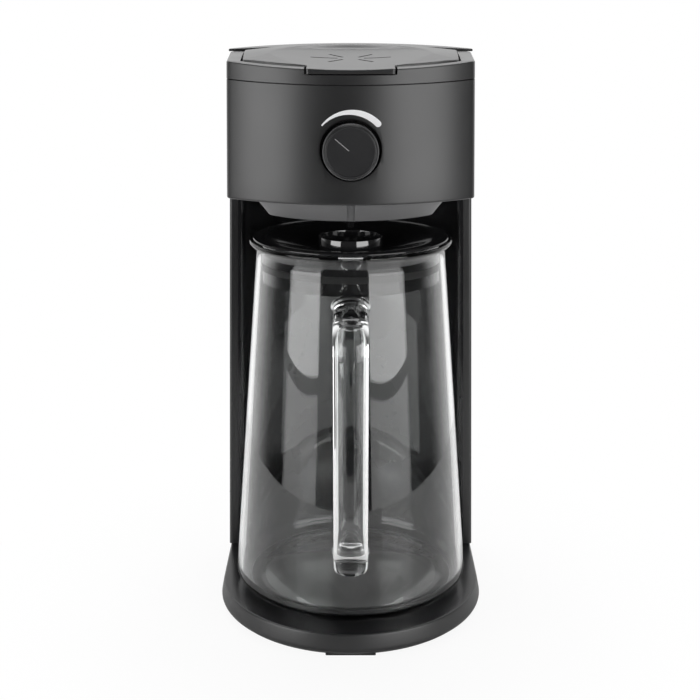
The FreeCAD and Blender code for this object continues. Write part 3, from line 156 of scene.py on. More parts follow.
def lid_ring(grow, side):
    front_cut, rear_cut = 3.0, 1.5
    half, rear_half = 60.4 + grow + side, 66.7 + grow + side
    front, corner, rear = 50 + grow, 30 + grow, 74.2 + grow
    centre = -sag_centre(half, front, corner)
    portions = [curved((-half, -corner), (half, -corner), (0, centre)),
                straight((half, -corner), (rear_half, rear)),
                straight((rear_half, rear), (-rear_half, rear)),
                straight((-rear_half, rear), (-half, -corner))]
    return closed_ring(portions, [front_cut, front_cut, rear_cut, rear_cut], [64, 40, 48, 40])


def circle_ring(radius, count, centre=(0, 0)):
    points = []
    for i in range(count):
        angle = 2 * math.pi * i / count
        points.append(Vector((centre[0] + radius * math.cos(angle), centre[1] + radius * math.sin(angle))))
    return points


# Meshes

def finish_mesh(name, bm, body, replaced=(), sharp=32, weld=True):
    if weld:
        bmesh.ops.remove_doubles(bm, verts=bm.verts, dist=1e-6)
    bmesh.ops.recalc_face_normals(bm, faces=bm.faces)
    mesh = bpy.data.meshes.new(name)
    bm.to_mesh(mesh)
    bm.free()
    mesh.shade_smooth()
    mesh.set_sharp_from_angle(angle=math.radians(sharp))
    obj = bpy.data.objects.new(name, mesh)
    bpy.context.scene.collection.objects.link(obj)
    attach(obj, body)
    if replaced:
        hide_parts(*replaced)
    return obj


def add_rings(bm, rings, wrap=False, cap_first=False, cap_last=False):
    """Quads between rings of points in millimetres. wrap joins the last ring to the first."""
    rows = [[bm.verts.new(place(*point)) for point in ring] for ring in rings]
    pairs = list(zip(rows, rows[1:]))
    if wrap:
        pairs.append((rows[-1], rows[0]))
    for low, high in pairs:
        count = len(low)
        for i in range(count):
            j = (i + 1) % count
            bm.faces.new((low[i], low[j], high[j], high[i]))
    if cap_first:
        bm.faces.new(list(reversed(rows[0])))
    if cap_last:
        bm.faces.new(rows[-1])
    return rows


def level(ring, z):
    return [(p.x, p.y, z) for p in ring]


def turned(name, profile, body, replaced=(), count=128, sharp=32):
    """A piece turned about an upright axis: profile is (radius, height)."""
    bm = bmesh.new()
    rings = []
    for radius, z in profile:
        rings.append(level(circle_ring(max(radius, NEARLY_ZERO), count), z))
    add_rings(bm, rings)
    return finish_mesh(name, bm, body, replaced, sharp)


def round_profile(points, radii, steps=5):
    """Rounds the corners of an open profile: radii[i] is how far corner i is cut back."""
    result = [points[0]]
    for i in range(1, len(points) - 1):
        corner = Vector(points[i])
        before = Vector(points[i - 1]) - corner
        after = Vector(points[i + 1]) - corner
        cut = radii[i - 1]
        if cut <= 0:
            result.append(points[i])
            continue
        a = corner + before.normalized() * min(cut, before.length * 0.5)
        b = corner + after.normalized() * min(cut, after.length * 0.5)
        for k in range(steps + 1):
            result.append(tuple(bend(a, corner, b, k / steps)))
    result.append(points[-1])
    return result


def cutter(name, bm):
    """A closed helper solid that is cut from a piece or fused to it, and then deleted."""
    bmesh.ops.recalc_face_normals(bm, faces=bm.faces)
    mesh = bpy.data.meshes.new(name)
    bm.to_mesh(mesh)
    bm.free()
    obj = bpy.data.objects.new(name, mesh)
    bpy.context.scene.collection.objects.link(obj)
    return obj


def box_cutter(name, low, high):
    bm = bmesh.new()
    bmesh.ops.create_cube(bm, size=1)
    a, b = place(*low), place(*high)
    for v in bm.verts:
        v.co = Vector([a[i] if v.co[i] < 0 else b[i] for i in range(3)])
    return cutter(name, bm)


def round_cutter(name, radius, low_y, high_y, z, count=96):
    bm = bmesh.new()
    rings = []
    for y in (low_y, high_y):
        rings.append([(radius * math.cos(2 * math.pi * i / count), y,
                       z + radius * math.sin(2 * math.pi * i / count)) for i in range(count)])
    add_rings(bm, rings, cap_first=True, cap_last=True)
    return cutter(name, bm)


def combine(obj, tools, sharp=32, operation="DIFFERENCE"):
    """Cuts each tool from a piece, or fuses it on with UNION, and deletes the tool."""
    for tool in tools:
        modifier = obj.modifiers.new("Combine", "BOOLEAN")
        modifier.operation = operation
        modifier.solver = "EXACT"
        modifier.object = tool
        depsgraph = bpy.context.evaluated_depsgraph_get()
        mesh = bpy.data.meshes.new_from_object(obj.evaluated_get(depsgraph))
        obj.modifiers.clear()
        obj.data = mesh
        bpy.data.objects.remove(tool)
    obj.data.shade_smooth()
    obj.data.set_sharp_from_angle(angle=math.radians(sharp))


# Materials

def node_material(name):
    material = bpy.data.materials.new(name)
    material.use_nodes = True
    tree = material.node_tree
    return material, tree.nodes, tree.links, tree.nodes["Principled BSDF"]


def noise(nodes, links, coords, scale, detail=3.0, rough=0.5):
    node = nodes.new("ShaderNodeTexNoise")
    node.inputs["Scale"].default_value = scale
    node.inputs["Detail"].default_value = detail
    node.inputs["Roughness"].default_value = rough
    links.new(coords.outputs["Object"], node.inputs["Vector"])
    return node


def ramp(nodes, links, source, stops):
    node = nodes.new("ShaderNodeValToRGB")
    elements = node.color_ramp.elements
    while len(elements) < len(stops):
        elements.new(0.5)
    for element, (position, colour) in zip(elements, stops):
        element.position = position
        element.color = (*colour, 1) if len(colour) == 3 else colour
    links.new(source, node.inputs["Fac"])
    return node


def span(nodes, links, source, low, high):
    node = nodes.new("ShaderNodeMapRange")
    node.inputs["From Min"].default_value = 0.3
    node.inputs["From Max"].default_value = 0.7
    node.inputs["To Min"].default_value = low
    node.inputs["To Max"].default_value = high
    links.new(source, node.inputs["Value"])
    return node


def plastic(name, dark, light, rough_low, rough_high, grain=1500, bump=0.06, depth=0.00008, specular=0.5):
    """Moulded plastic: a fine spark-eroded grain and slow changes of gloss and tone."""
    material, nodes, links, shader = node_material(name)
    coords = nodes.new("ShaderNodeTexCoord")
    slow = noise(nodes, links, coords, 22, 4.0)
    fine = noise(nodes, links, coords, grain, 2.0, 0.6)
    tone = ramp(nodes, links, slow.outputs["Fac"], [(0.3, dark), (0.7, light)])
    links.new(tone.outputs["Color"], shader.inputs["Base Color"])
    gloss = span(nodes, links, slow.outputs["Fac"], rough_low, rough_high)
    links.new(gloss.outputs["Result"], shader.inputs["Roughness"])
    shader.inputs["Specular IOR Level"].default_value = specular
    relief = nodes.new("ShaderNodeBump")
    relief.inputs["Strength"].default_value = bump
    relief.inputs["Distance"].default_value = depth
    links.new(fine.outputs["Fac"], relief.inputs["Height"])
    links.new(relief.outputs["Normal"], shader.inputs["Normal"])
    return material


def metal(name, dark, light, rough_low, rough_high, grain=400):
    material, nodes, links, shader = node_material(name)
    coords = nodes.new("ShaderNodeTexCoord")
    fine = noise(nodes, links, coords, grain, 3.0)
    tone = ramp(nodes, links, fine.outputs["Fac"], [(0.3, dark), (0.7, light)])
    links.new(tone.outputs["Color"], shader.inputs["Base Color"])
    gloss = span(nodes, links, fine.outputs["Fac"], rough_low, rough_high)
    links.new(gloss.outputs["Result"], shader.inputs["Roughness"])
    shader.inputs["Metallic"].default_value = 1.0
    return material


def glass(name, tint, rough_high=0.012):
    material, nodes, links, shader = node_material(name)
    coords = nodes.new("ShaderNodeTexCoord")
    slow = noise(nodes, links, coords, 14, 2.0)
    tone = ramp(nodes, links, slow.outputs["Fac"], [(0.35, tint), (0.65, (1, 1, 1))])
    links.new(tone.outputs["Color"], shader.inputs["Base Color"])
    gloss = span(nodes, links, slow.outputs["Fac"], 0.0, rough_high)
    links.new(gloss.outputs["Result"], shader.inputs["Roughness"])
    shader.inputs["Transmission Weight"].default_value = 1.0
    shader.inputs["IOR"].default_value = 1.47
    relief = nodes.new("ShaderNodeBump")
    relief.inputs["Strength"].default_value = 0.05
    relief.inputs["Distance"].default_value = 0.0006
    links.new(slow.outputs["Fac"], relief.inputs["Height"])
    links.new(relief.outputs["Normal"], shader.inputs["Normal"])
    return material


SATIN = plastic("satin_black", (0.010, 0.010, 0.0105), (0.013, 0.013, 0.0135), 0.34, 0.39, specular=0.75)
# The housing's satin black made lighter grey for faces that look up: painted light from above.
SATIN_TOP_PAINTED_LIGHT = plastic("satin_black_top_painted_light", (0.095, 0.095, 0.096), (0.115, 0.115, 0.116), 0.36, 0.42, specular=0.6)
GLOSS = plastic("gloss_black", (0.012, 0.012, 0.013), (0.016, 0.016, 0.017), 0.1, 0.14, 300, 0.02, 0.00005)
KNOB = plastic("knob_black", (0.014, 0.014, 0.015), (0.02, 0.02, 0.021), 0.3, 0.36)
# A lighter grey for the knob's front bevel ring: a painted highlight.
KNOB_EDGE_HIGHLIGHT = plastic("knob_edge_highlight", (0.09, 0.09, 0.092), (0.12, 0.12, 0.122), 0.22, 0.28, specular=0.8)
DARK = plastic("deep_black", (0.008, 0.008, 0.009), (0.012, 0.012, 0.012), 0.45, 0.55)
GREY = plastic("satin_grey", (0.12, 0.12, 0.122), (0.145, 0.145, 0.147), 0.38, 0.44)
LID_BLACK = plastic("lid_black", (0.012, 0.012, 0.013), (0.018, 0.018, 0.019), 0.05, 0.09, 900, 0.02)
COLLAR = plastic("collar_black", (0.012, 0.012, 0.013), (0.018, 0.018, 0.019), 0.05, 0.09, 900, 0.01,
                 specular=1.0)
COLLAR.node_tree.nodes["Principled BSDF"].inputs["Coat Weight"].default_value = 1.0
DECK = plastic("deck_black", (0.012, 0.012, 0.013), (0.018, 0.018, 0.019), 0.2, 0.27, 900, 0.03)
# A lighter grey for the pad's top: a painted reflection.
PAD_REFLECTION = plastic("pad_painted_reflection", (0.11, 0.11, 0.111), (0.135, 0.135, 0.136), 0.3, 0.36)
PRINT_DIM = plastic("pale_print", (0.24, 0.24, 0.245), (0.3, 0.3, 0.305), 0.5, 0.55)
PRINT = plastic("white_print", (0.86, 0.86, 0.87), (0.92, 0.92, 0.93), 0.45, 0.5)
PALE = plastic("pale_plastic", (0.6, 0.6, 0.58), (0.68, 0.68, 0.66), 0.35, 0.45)
RUBBER = plastic("rubber_black", (0.015, 0.015, 0.015), (0.025, 0.025, 0.025), 0.7, 0.8, 900, 0.2, 0.0001)
HOSE = plastic("milky_hose", (0.6, 0.6, 0.56), (0.7, 0.7, 0.66), 0.3, 0.4, 500)
WIRE = plastic("wire_cover", (0.3, 0.03, 0.02), (0.4, 0.05, 0.03), 0.35, 0.45, 600)
STEEL = metal("stainless", (0.5, 0.5, 0.5), (0.65, 0.65, 0.66), 0.22, 0.32)
CAST = metal("cast_metal", (0.42, 0.43, 0.44), (0.56, 0.57, 0.58), 0.4, 0.5, 700)
CLEAR = glass("jug_clear", (0.97, 0.985, 0.98))
TANK = glass("tank_clear", (0.86, 0.9, 0.93), 0.1)


def paint(material, *objects):
    for obj in objects:
        if not obj.data.materials:
            obj.data.materials.append(material)
        for i in range(len(obj.data.materials)):
            obj.data.materials[i] = material
    return objects[0]


def paint_lit_tops(obj, top, side, steepness=0.5):
    """One material on the faces that look up, another on the rest: the lighter one on the tops is painted
    light from above.
    """
    obj.data.materials.clear()
    obj.data.materials.append(side)
    obj.data.materials.append(top)
    for face in obj.data.polygons:
        face.material_index = 1 if face.normal.z > steepness else 0


def paint_nodes(material, *names):
    for name in names:
        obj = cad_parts[name]
        obj.data.materials.clear()
        obj.data.materials.append(material)


paint_nodes(SATIN, "base_shell", "base_plate", "tower_shell", "head_shell", "cord_gland", "heater_bracket")
# The top pieces in the lighter grey that is painted light from above.
paint_nodes(SATIN_TOP_PAINTED_LIGHT, "top_frame", "top_lid", "rear_cover")
paint_nodes(GLOSS, "bay_panel", "switch_case", "switch_rocker")
paint_nodes(KNOB, "strength_knob")
paint_nodes(DARK, "knob_cup")
paint_nodes(GREY, "brew_well")
paint_nodes(CLEAR, "jug_glass")
paint_nodes(LID_BLACK, "jug_lid")
paint_nodes(TANK, "water_tank")
paint_nodes(PALE, "shower_plate", "lid_gutter", "brew_basket", "filter_frame", "selector_disc", "spout",
            "thermal_fuse")
paint_nodes(LID_BLACK, "drip_valve")
paint_nodes(RUBBER, "rubber_feet", "check_valve", "valve_seal", "spindle_seal", "jug_lid_seal")
paint_nodes(HOSE, "feed_hose", "riser_hose")
paint_nodes(STEEL, "base_screws", "tower_screws", "head_screws", "hose_clips", "heating_element",
            "filter_mesh", "valve_spring", "lid_hinge_pins", "knob_spindle", "thermostat")
paint_nodes(CAST, "heater_block")
paint_nodes(WIRE, "inner_wires")

# Base

def towards(ring, radius, share=1.0):
    """Points of a ring moved towards the circle of a radius, each along its own direction."""
    points = []
    for p in ring:
        q = p.normalized() * radius
        points.append(p.lerp(q, share))
    return points


def make_base():
    bm = bmesh.new()
    outline = base_ring(4.5)
    hub = [p.normalized() * NEARLY_ZERO for p in outline]
    roof = 11
    edge = round_profile([(6.5, -0.5), (4, -0.5), (0, 3), (2, DECK_TOP), (12, DECK_TOP)], [0.8, 2.2, 1.3], 6)
    rings = [level(hub, roof), level(towards(outline, 60), roof), level(outline, roof)]
    rings.append(level(base_ring(6.5), -0.5))
    for inset, z in edge[1:-1]:
        rings.append(level(base_ring(inset), z))
    rings.append(level(towards(outline, 66, 0.5), DECK_TOP))
    pad_edge = [(67, DECK_TOP), (65, DECK_TOP), (65, PAD_TOP), (62, PAD_TOP)]
    groove = [(56.5, PAD_TOP), (56.1, 14.25), (55.3, 14.25), (54.9, PAD_TOP), (30, PAD_TOP)]
    for radius, z in round_profile(pad_edge, [0.25, 0.45], 5) + groove:
        rings.append(level(towards(outline, radius), z))
    rings.append(level(hub, PAD_TOP))
    add_rings(bm, rings)
    skin = finish_mesh("base_skin", bm, "housing", ("base_shell",), 40)
    for material in (SATIN, DECK, PAD_REFLECTION):
        skin.data.materials.append(material)
    # The pad's up-facing faces get the lighter grey, a painted reflection; the deck gets the dark glossy
    # black.
    for face in skin.data.polygons:
        height = face.center.z * 1000 - LIFT
        if height > 13.4 and face.normal.z > 0.5:
            face.material_index = 2 if height > 14 else 1
        elif height > 13.55:
            face.material_index = 1


def rounded_box(bm, low, high, radius):
    """A box with rounded edges, added to a mesh."""
    made = bmesh.ops.create_cube(bm, size=1)["verts"]
    a, b = place(*low), place(*high)
    for v in made:
        v.co = Vector([a[i] if v.co[i] < 0 else b[i] for i in range(3)])
    edges = {edge for v in made for edge in v.link_edges}
    bmesh.ops.bevel(bm, geom=list(edges), offset=radius * 0.001, segments=3, affect="EDGES", profile=0.5)


def make_feet():
    bm = bmesh.new()
    rounded_box(bm, (-15, -79, -LIFT), (15, -67, -0.5), 0.5)
    for x in (-62, 62):
        for y in (8, 88):
            profile = round_profile([(NEARLY_ZERO, -LIFT), (7, -LIFT), (7, -0.5), (NEARLY_ZERO, -0.5)],
                                    [0.5, 0.2], 3)
            rings = [level(circle_ring(radius, 40, (x, y)), z) for radius, z in profile]
            add_rings(bm, rings)
    paint(RUBBER, finish_mesh("feet_rounded", bm, "housing", ("rubber_feet",)))


# Tower

def strip_solid(bm, outer, inner, heights):
    """A closed wall between two open paths; each path is a function of height."""
    rows = []
    for z in heights:
        rows.append([(p.x, p.y, z) for p in outer(z)] + [(p.x, p.y, z) for p in reversed(inner(z))])
    made = add_rings(bm, rows)
    count = len(outer(heights[0]))
    total = len(made[0])
    for row, flip in ((made[0], True), (made[-1], False)):
        for i in range(count - 1):
            face = [row[i], row[i + 1], row[total - 2 - i], row[total - 1 - i]]
            bm.faces.new(list(reversed(face)) if flip else face)


def tower_path(z, inset, front):
    """The tower's plan from its left inner front edge round the rear to the right one."""
    half, rear_half, reach = tower_sizes(z, inset)
    bay = bay_radius(z) + 2.6
    inner_x = math.sqrt(bay * bay - 46 * 46) + (0 if inset == 0 else 0.01)
    centre = sag_centre(rear_half, reach, SIDE_END)
    right = []
    corner = 1.6 if inset == 0 else 0.4
    for k in range(4):
        right.append(Vector((inner_x + (half - corner - inner_x) * k / 3, front)))
    for k in range(1, 8):
        angle = math.pi / 2 * k / 8
        right.append(Vector((half - corner + corner * math.sin(angle),
                             front + corner - corner * math.cos(angle))))
    side, length = straight((half, front + corner), (rear_half, SIDE_END))
    cut = 9
    for k in range(15):
        right.append(side((1 - cut / length) * k / 14))
    a = side(1 - cut / length)
    corner_point = side(1)
    arc, arc_length = curved((rear_half, SIDE_END), (-rear_half, SIDE_END), (0, centre))
    b = arc(cut / arc_length)
    for k in range(1, 9):
        right.append(bend(a, corner_point, b, k / 8))
    start = cut / arc_length
    for k in range(1, 25):
        right.append(arc(start + (0.5 - start) * k / 24))
    left = [Vector((-p.x, p.y)) for p in right[:-1]]
    return left + list(reversed(right))


def make_tower():
    bm = bmesh.new()
    heights = [DECK_TOP + 251.3 * i / 24 for i in range(25)]
    strip_solid(bm, lambda z: tower_path(z, 0, 46), lambda z: tower_path(z, 2.5, 48.5), heights)
    skin = paint(SATIN, finish_mesh("tower_skin", bm, "housing", ("tower_shell",)))
    combine(skin, [box_cutter("switch_opening", (-95, 58.25, 41.25), (-75.2, 73.75, 62.75)),
                    round_cutter("gland_opening", 5.95, 110, 135, 24)])
    paint(SATIN, skin)


def make_bay():
    """The concave glossy wall between the wings, with rounded front edges."""
    def arc(z, grow):
        steps = 72
        radius = bay_radius(z) + grow
        start = math.asin(46 / radius)
        points = []
        for k in range(steps + 1):
            angle = start + (math.pi - 2 * start) * k / steps
            points.append(Vector((-radius * math.cos(angle), radius * math.sin(angle))))
        return points

    def face(z):
        points = arc(z, 0)
        points[0] = points[0] + Vector((-0.7, 0))
        points[-1] = points[-1] + Vector((0.7, 0))
        first, last = points[0] + Vector((0.5, 0.25)), points[-1] + Vector((-0.5, 0.25))
        return [points[0], first] + points[1:-1] + [last, points[-1]]

    def back(z):
        points = arc(z, 2.5)
        return [points[0], points[0]] + points[1:-1] + [points[-1], points[-1]]

    bm = bmesh.new()
    heights = [DECK_TOP + 251.3 * i / 16 for i in range(17)]
    strip_solid(bm, face, back, heights)
    paint(GLOSS, finish_mesh("bay_skin", bm, "housing", ("bay_panel",), 50))


# Head

def seam_height(y, level_z=331.7, dip=0.072):
    return level_z - dip * max(0, -35 - y)


def top_height(y):
    return seam_height(y, 341.7, 0.14)


def front_y(x, z, inset=0):
    """The y of the head's front face."""
    half = head_sizes(z, inset)[0]
    front, corner = 60 - inset, 35 - inset
    centre = -sag_centre(half, front, corner)
    return centre - math.sqrt((front + centre) ** 2 - x * x)


def head_level(inset, z, follow=None):
    """A ring of the head at an inset; follow adds the seam's or the top edge's own height."""
    ring = head_ring(z, inset)
    if follow is None:
        return level(ring, z)
    return [(p.x, p.y, follow(p.y) + z - follow(0)) for p in ring]


def make_head():
    bm = bmesh.new()
    rings = [head_level(2.5, 265.3), head_level(2.1, HEAD_BOTTOM)]
    for inset, z in round_profile([(1.9, HEAD_BOTTOM), (0, HEAD_BOTTOM), (0, 270)], [1.4], 6)[1:-1]:
        rings.append(head_level(inset, z))
    rings += [head_level(0, 266.2 + i * 10.6) for i in range(6)]
    rings.append(head_level(0, 331.4, seam_height))
    rings.append(head_level(0.32, 331.68, seam_height))
    rings.append(head_level(2.5, 331.68, seam_height))
    rings += [head_level(2.5, 319.2 - i * 10.6) for i in range(5)]
    add_rings(bm, rings, wrap=True)
    skin = paint(SATIN, finish_mesh("head_skin", bm, "housing", ("head_shell",)))
    opening = 16.85
    combine(skin, [round_cutter("knob_opening", opening, -70, -40, KNOB_HEIGHT, 160)])
    paint(SATIN, skin)
    round_rim(skin, opening, 0.45)


def round_rim(obj, radius, width):
    """Rounds the outer edge of the hole round the knob."""
    bm = bmesh.new()
    bm.from_mesh(obj.data)
    rim = []
    for edge in bm.edges:
        on_rim = True
        for v in edge.verts:
            x, y, z = v.co.x * 1000, v.co.y * 1000 - AXIS_Y, v.co.z * 1000 - LIFT
            on_rim = on_rim and abs(math.hypot(x, z - KNOB_HEIGHT) - radius) < 0.05
            on_rim = on_rim and abs(y - front_y(x, z)) < 0.15
        if on_rim:
            rim.append(edge)
    bmesh.ops.bevel(bm, geom=rim, offset=width * 0.001, segments=4, affect="EDGES", profile=0.5)
    bm.to_mesh(obj.data)
    bm.free()
    obj.data.shade_smooth()
    obj.data.set_sharp_from_angle(angle=math.radians(32))


def around_knob(radius, y, count, depth_of=None):
    """A ring about the knob's axis; y may be a function of x and z."""
    points = []
    for i in range(count):
        angle = 2 * math.pi * i / count
        x = radius * math.sin(angle)
        z = KNOB_HEIGHT + radius * math.cos(angle)
        points.append((x, depth_of(x, z) if depth_of else y, z))
    return points


def make_cup():
    bm = bmesh.new()
    count = 120

    def behind(x, z):
        return front_y(x, z, 2.5) - 0.02
    rings = [around_knob(18.4, 0, count, behind), around_knob(16.8, 0, count, behind),
             around_knob(16.8, -53.4, count), around_knob(16.4, -53, count), around_knob(3.05, -53, count),
             around_knob(3.05, -50.5, count), around_knob(18.4, -50.5, count)]
    add_rings(bm, rings, wrap=True)
    paint(DARK, finish_mesh("knob_recess", bm, "housing", ("knob_cup",)))


def make_knob():
    ribs = 96
    count = ribs * 4
    depth = (0, 0.16, 0.3, 0.16)

    def ribbed(radius, y):
        ring = around_knob(radius, y, count)
        points = []
        for i, (x, _, z) in enumerate(ring):
            share = (radius - depth[i % 4]) / radius
            points.append((x * share, y, KNOB_HEIGHT + (z - KNOB_HEIGHT) * share))
        return points
    rings = [around_knob(3, -54, count), around_knob(15, -54, count), around_knob(15.2, -54.3, count)]
    rings += [ribbed(15.4, -54.6), ribbed(15.4, -64.4)]
    edge = round_profile([(15.35, -64.6), (15.35, -66.3), (14.9, -66.95), (13.9, -68.3), (13.3, -68.3),
                          (13.1, -67.95), (10, -67.95)], [0.2, 0.15, 0.3, 0.12, 0.12], 4)
    rings += [around_knob(radius, y, count) for radius, y in edge]
    rings.append(around_knob(NEARLY_ZERO, -67.95, count))
    bore = [around_knob(NEARLY_ZERO, -63, count), around_knob(3, -63, count)]
    bm = bmesh.new()
    add_rings(bm, bore + rings)
    skin = finish_mesh("knob_skin", bm, "dial", ("strength_knob",), 38)
    paint(KNOB, skin)
    # A lighter grey on the bevel ring at the knob's front edge: a painted highlight.
    skin.data.materials.append(KNOB_EDGE_HIGHLIGHT)
    for face in skin.data.polygons:
        x, y, z = face.center.x * 1000, face.center.y * 1000 - AXIS_Y, face.center.z * 1000 - LIFT
        if -66.95 < y < -66.1 and math.hypot(x, z - KNOB_HEIGHT) > 14.85:
            face.material_index = 1
    angle = math.radians(50)
    along = Vector((-math.sin(angle), math.cos(angle)))
    across = Vector((math.cos(angle), math.sin(angle))) * 0.2
    bm = bmesh.new()
    outline = []
    for reach, way in ((11, 1), (1.3, -1)):
        for k in range(9):
            turn = math.pi * k / 8
            outline.append(along * reach + (along * 0.2 * math.sin(turn) + across * math.cos(turn)) * way)
    rings = [[(p.x, y, KNOB_HEIGHT + p.y) for p in outline] for y in (-67.9, -68.02)]
    add_rings(bm, rings, cap_first=True, cap_last=True)
    paint(PRINT_DIM, finish_mesh("pointer_line", bm, "dial"))


def make_wedge():
    """The printed strength wedge: thin at the left, thick and round-ended at the right."""
    middle = 20.7
    start, end = math.radians(-48.8), math.radians(46)
    first, last = 0.42, 1.75
    sections = []
    for k in range(7):
        turn = math.pi / 2 * k / 6
        sections.append((start - first * math.cos(turn) / middle, max(0.02, first * math.sin(turn))))
    for k in range(1, 61):
        t = k / 60
        sections.append((start + (end - start) * t,
                         first + (last - first) * math.sin(math.pi / 2 * t) ** 1.2))
    for k in range(1, 13):
        turn = math.pi / 2 * k / 12
        sections.append((end + last * math.sin(turn) / middle, max(0.02, last * math.cos(turn))))
    rings = []
    for angle, half in sections:
        ring = []
        for radius, lift in ((middle + half, 0.05), (middle, 0.05), (middle - half, 0.05),
                             (middle - half, -0.15), (middle + half, -0.15)):
            x, z = radius * math.sin(angle), KNOB_HEIGHT + radius * math.cos(angle)
            ring.append((x, front_y(x, z) - lift, z))
        rings.append(ring)
    bm = bmesh.new()
    add_rings(bm, rings, cap_first=True, cap_last=True)
    paint(PRINT, finish_mesh("strength_wedge", bm, "housing"))


# Top frame, lid and rear cover

def prism_cutter(name, ring, low, high):
    bm = bmesh.new()
    add_rings(bm, [level(ring, low), level(ring, high)], cap_first=True, cap_last=True)
    return cutter(name, bm)


def make_frame():
    bm = bmesh.new()
    rings = [head_level(0.7, 331.72, seam_height), head_level(0.32, 331.72, seam_height),
             head_level(0, 332.05, seam_height), head_level(0, 336, seam_height)]
    for inset, drop in round_profile([(0, 3), (0, 0), (4, 0)], [1.0], 5)[1:-1]:
        rings.append(head_level(inset, 341.7 - drop, top_height))
    rings.append(head_level(2.2, 341.7, top_height))
    rows = add_rings(bm, rings)
    bm.faces.new(list(reversed(rows[0])))
    bm.faces.new(rows[-1])
    bmesh.ops.triangulate(bm, faces=[f for f in bm.faces if len(f.verts) > 4])
    skin = paint(SATIN_TOP_PAINTED_LIGHT, finish_mesh("frame_skin", bm, "housing", ("top_frame",)))
    half, reach = TANK_HALF - 6, TANK_REACH - 6
    centre = sag_centre(half, reach, SIDE_END)
    mouth = closed_ring([straight((-half, 78), (half, 78)), straight((half, 78), (half, SIDE_END)),
                         curved((half, SIDE_END), (-half, SIDE_END), (0, centre)),
                         straight((-half, SIDE_END), (-half, 78))], [0, 0, 0, 0], [4, 1, 48, 1])
    combine(skin, [prism_cutter("lid_opening", lid_ring(0.9, 0.5), 320, 350),
                    box_cutter("hinge_opening", (-67.6, HINGE_Y, 320), (67.6, 75.2, 350)),
                    prism_cutter("tank_opening", mouth, 320, 350),
                    box_cutter("tab_notch", (-25.2, -65, 335.2), (25.2, -35, 350)),
                    pin_cutter(1.5)])
    # Faces that look up get the lighter grey, painted light from above; the rest stay satin black.
    paint_lit_tops(skin, SATIN_TOP_PAINTED_LIGHT, SATIN)


def pin_cutter(radius):
    bm = bmesh.new()
    rings = []
    for x in (-100, 100):
        rings.append([(x, HINGE_Y + radius * math.cos(2 * math.pi * i / 32),
                       HINGE_HEIGHT + radius * math.sin(2 * math.pi * i / 32)) for i in range(32)])
    add_rings(bm, rings, cap_first=True, cap_last=True)
    return cutter("pin_bore", bm)


def tab_ring(grow):
    """The lid's plan with its finger tab."""
    half, rear_half = 60.4 + grow, 66.7 + grow
    front, corner, rear = 50 + grow, 30 + grow, 74.2 + grow
    centre = -sag_centre(half, front, corner)
    radius = front + centre
    tab, tab_front = 24.1 + grow, 60.2 + grow
    base_y = centre - math.sqrt(radius * radius - tab * tab)
    portions = [straight((-tab, -tab_front), (tab, -tab_front)),
                straight((tab, -tab_front), (tab, base_y)),
                curved((tab, base_y), (half, -corner), (0, centre)),
                straight((half, -corner), (rear_half, rear)),
                straight((rear_half, rear), (-rear_half, rear)),
                straight((-rear_half, rear), (-half, -corner)),
                curved((-half, -corner), (-tab, base_y), (0, centre)),
                straight((-tab, base_y), (-tab, -tab_front))]
    return closed_ring(portions, [1.6, 1.6, 0.9, 3.0, 1.5, 1.5, 3.0, 0.9], [40, 10, 24, 64, 60, 64, 24, 10])


def smooth(low, high, value):
    t = min(1, max(0, (value - low) / (high - low)))
    return t * t * (3 - 2 * t)


def dome_height(x, y, shave=0.0):
    radius = 560 - shave
    return 348.1 - 560 + math.sqrt(radius * radius - x * x - (y - 25) ** 2)


def trough_height(x, y, shave=0.0):
    """The floor of the round scoop: it rises from the tab and is hollow from side to side."""
    curve = 360 + shave
    tilt = math.radians(4.3)
    hollow = (curve - math.sqrt(curve * curve - x * x)) / math.cos(tilt)
    return 338.2 + (y + 60) * math.tan(tilt) + hollow - shave


def barrel_reach(y, shave=0.0):
    """Half height of the lid's round hinge edge."""
    barrel = 8.2 - shave
    over = min(barrel, y - HINGE_Y)
    return math.sqrt(max(0, barrel * barrel - over * over))


def front_slope(x, y, shave=0.0):
    """The lid's front slope: level with the frame at the front edge and rising towards the rear."""
    centre = -sag_centre(60.4, 50, 30)
    edge_y = centre - math.sqrt((50 + centre) ** 2 - min(abs(x), 60.4) ** 2)
    return top_height(edge_y) + 0.3 + 0.13 * max(0, y - edge_y) - shave


def lid_height(x, y, shave=0.0):
    """Height of the lid's top, with soft edges round the scoop."""
    dome = dome_height(x, y, shave)
    if y < 40:
        dome = min(dome, front_slope(x, y, shave))
    floor = min(dome, trough_height(x, y, shave))
    reach = math.hypot(x, y - ARROWS_Y)
    share = smooth(44.3, 48.3, reach)
    if y < ARROWS_Y:
        wide = 24.1 + 8
        share = min(share, smooth(wide, wide + 9, abs(x)) if reach > 40 else share)
    height = floor + (dome - floor) * share
    if y > HINGE_Y:
        height = min(height, HINGE_HEIGHT + barrel_reach(y, shave))
    return height


def lid_low(y):
    """Height of the lid's lower edge: higher under the finger tab, round at the hinge."""
    if y > HINGE_Y:
        return max(334, HINGE_HEIGHT - barrel_reach(y))
    return 335.9 if y < -51 else 334.0


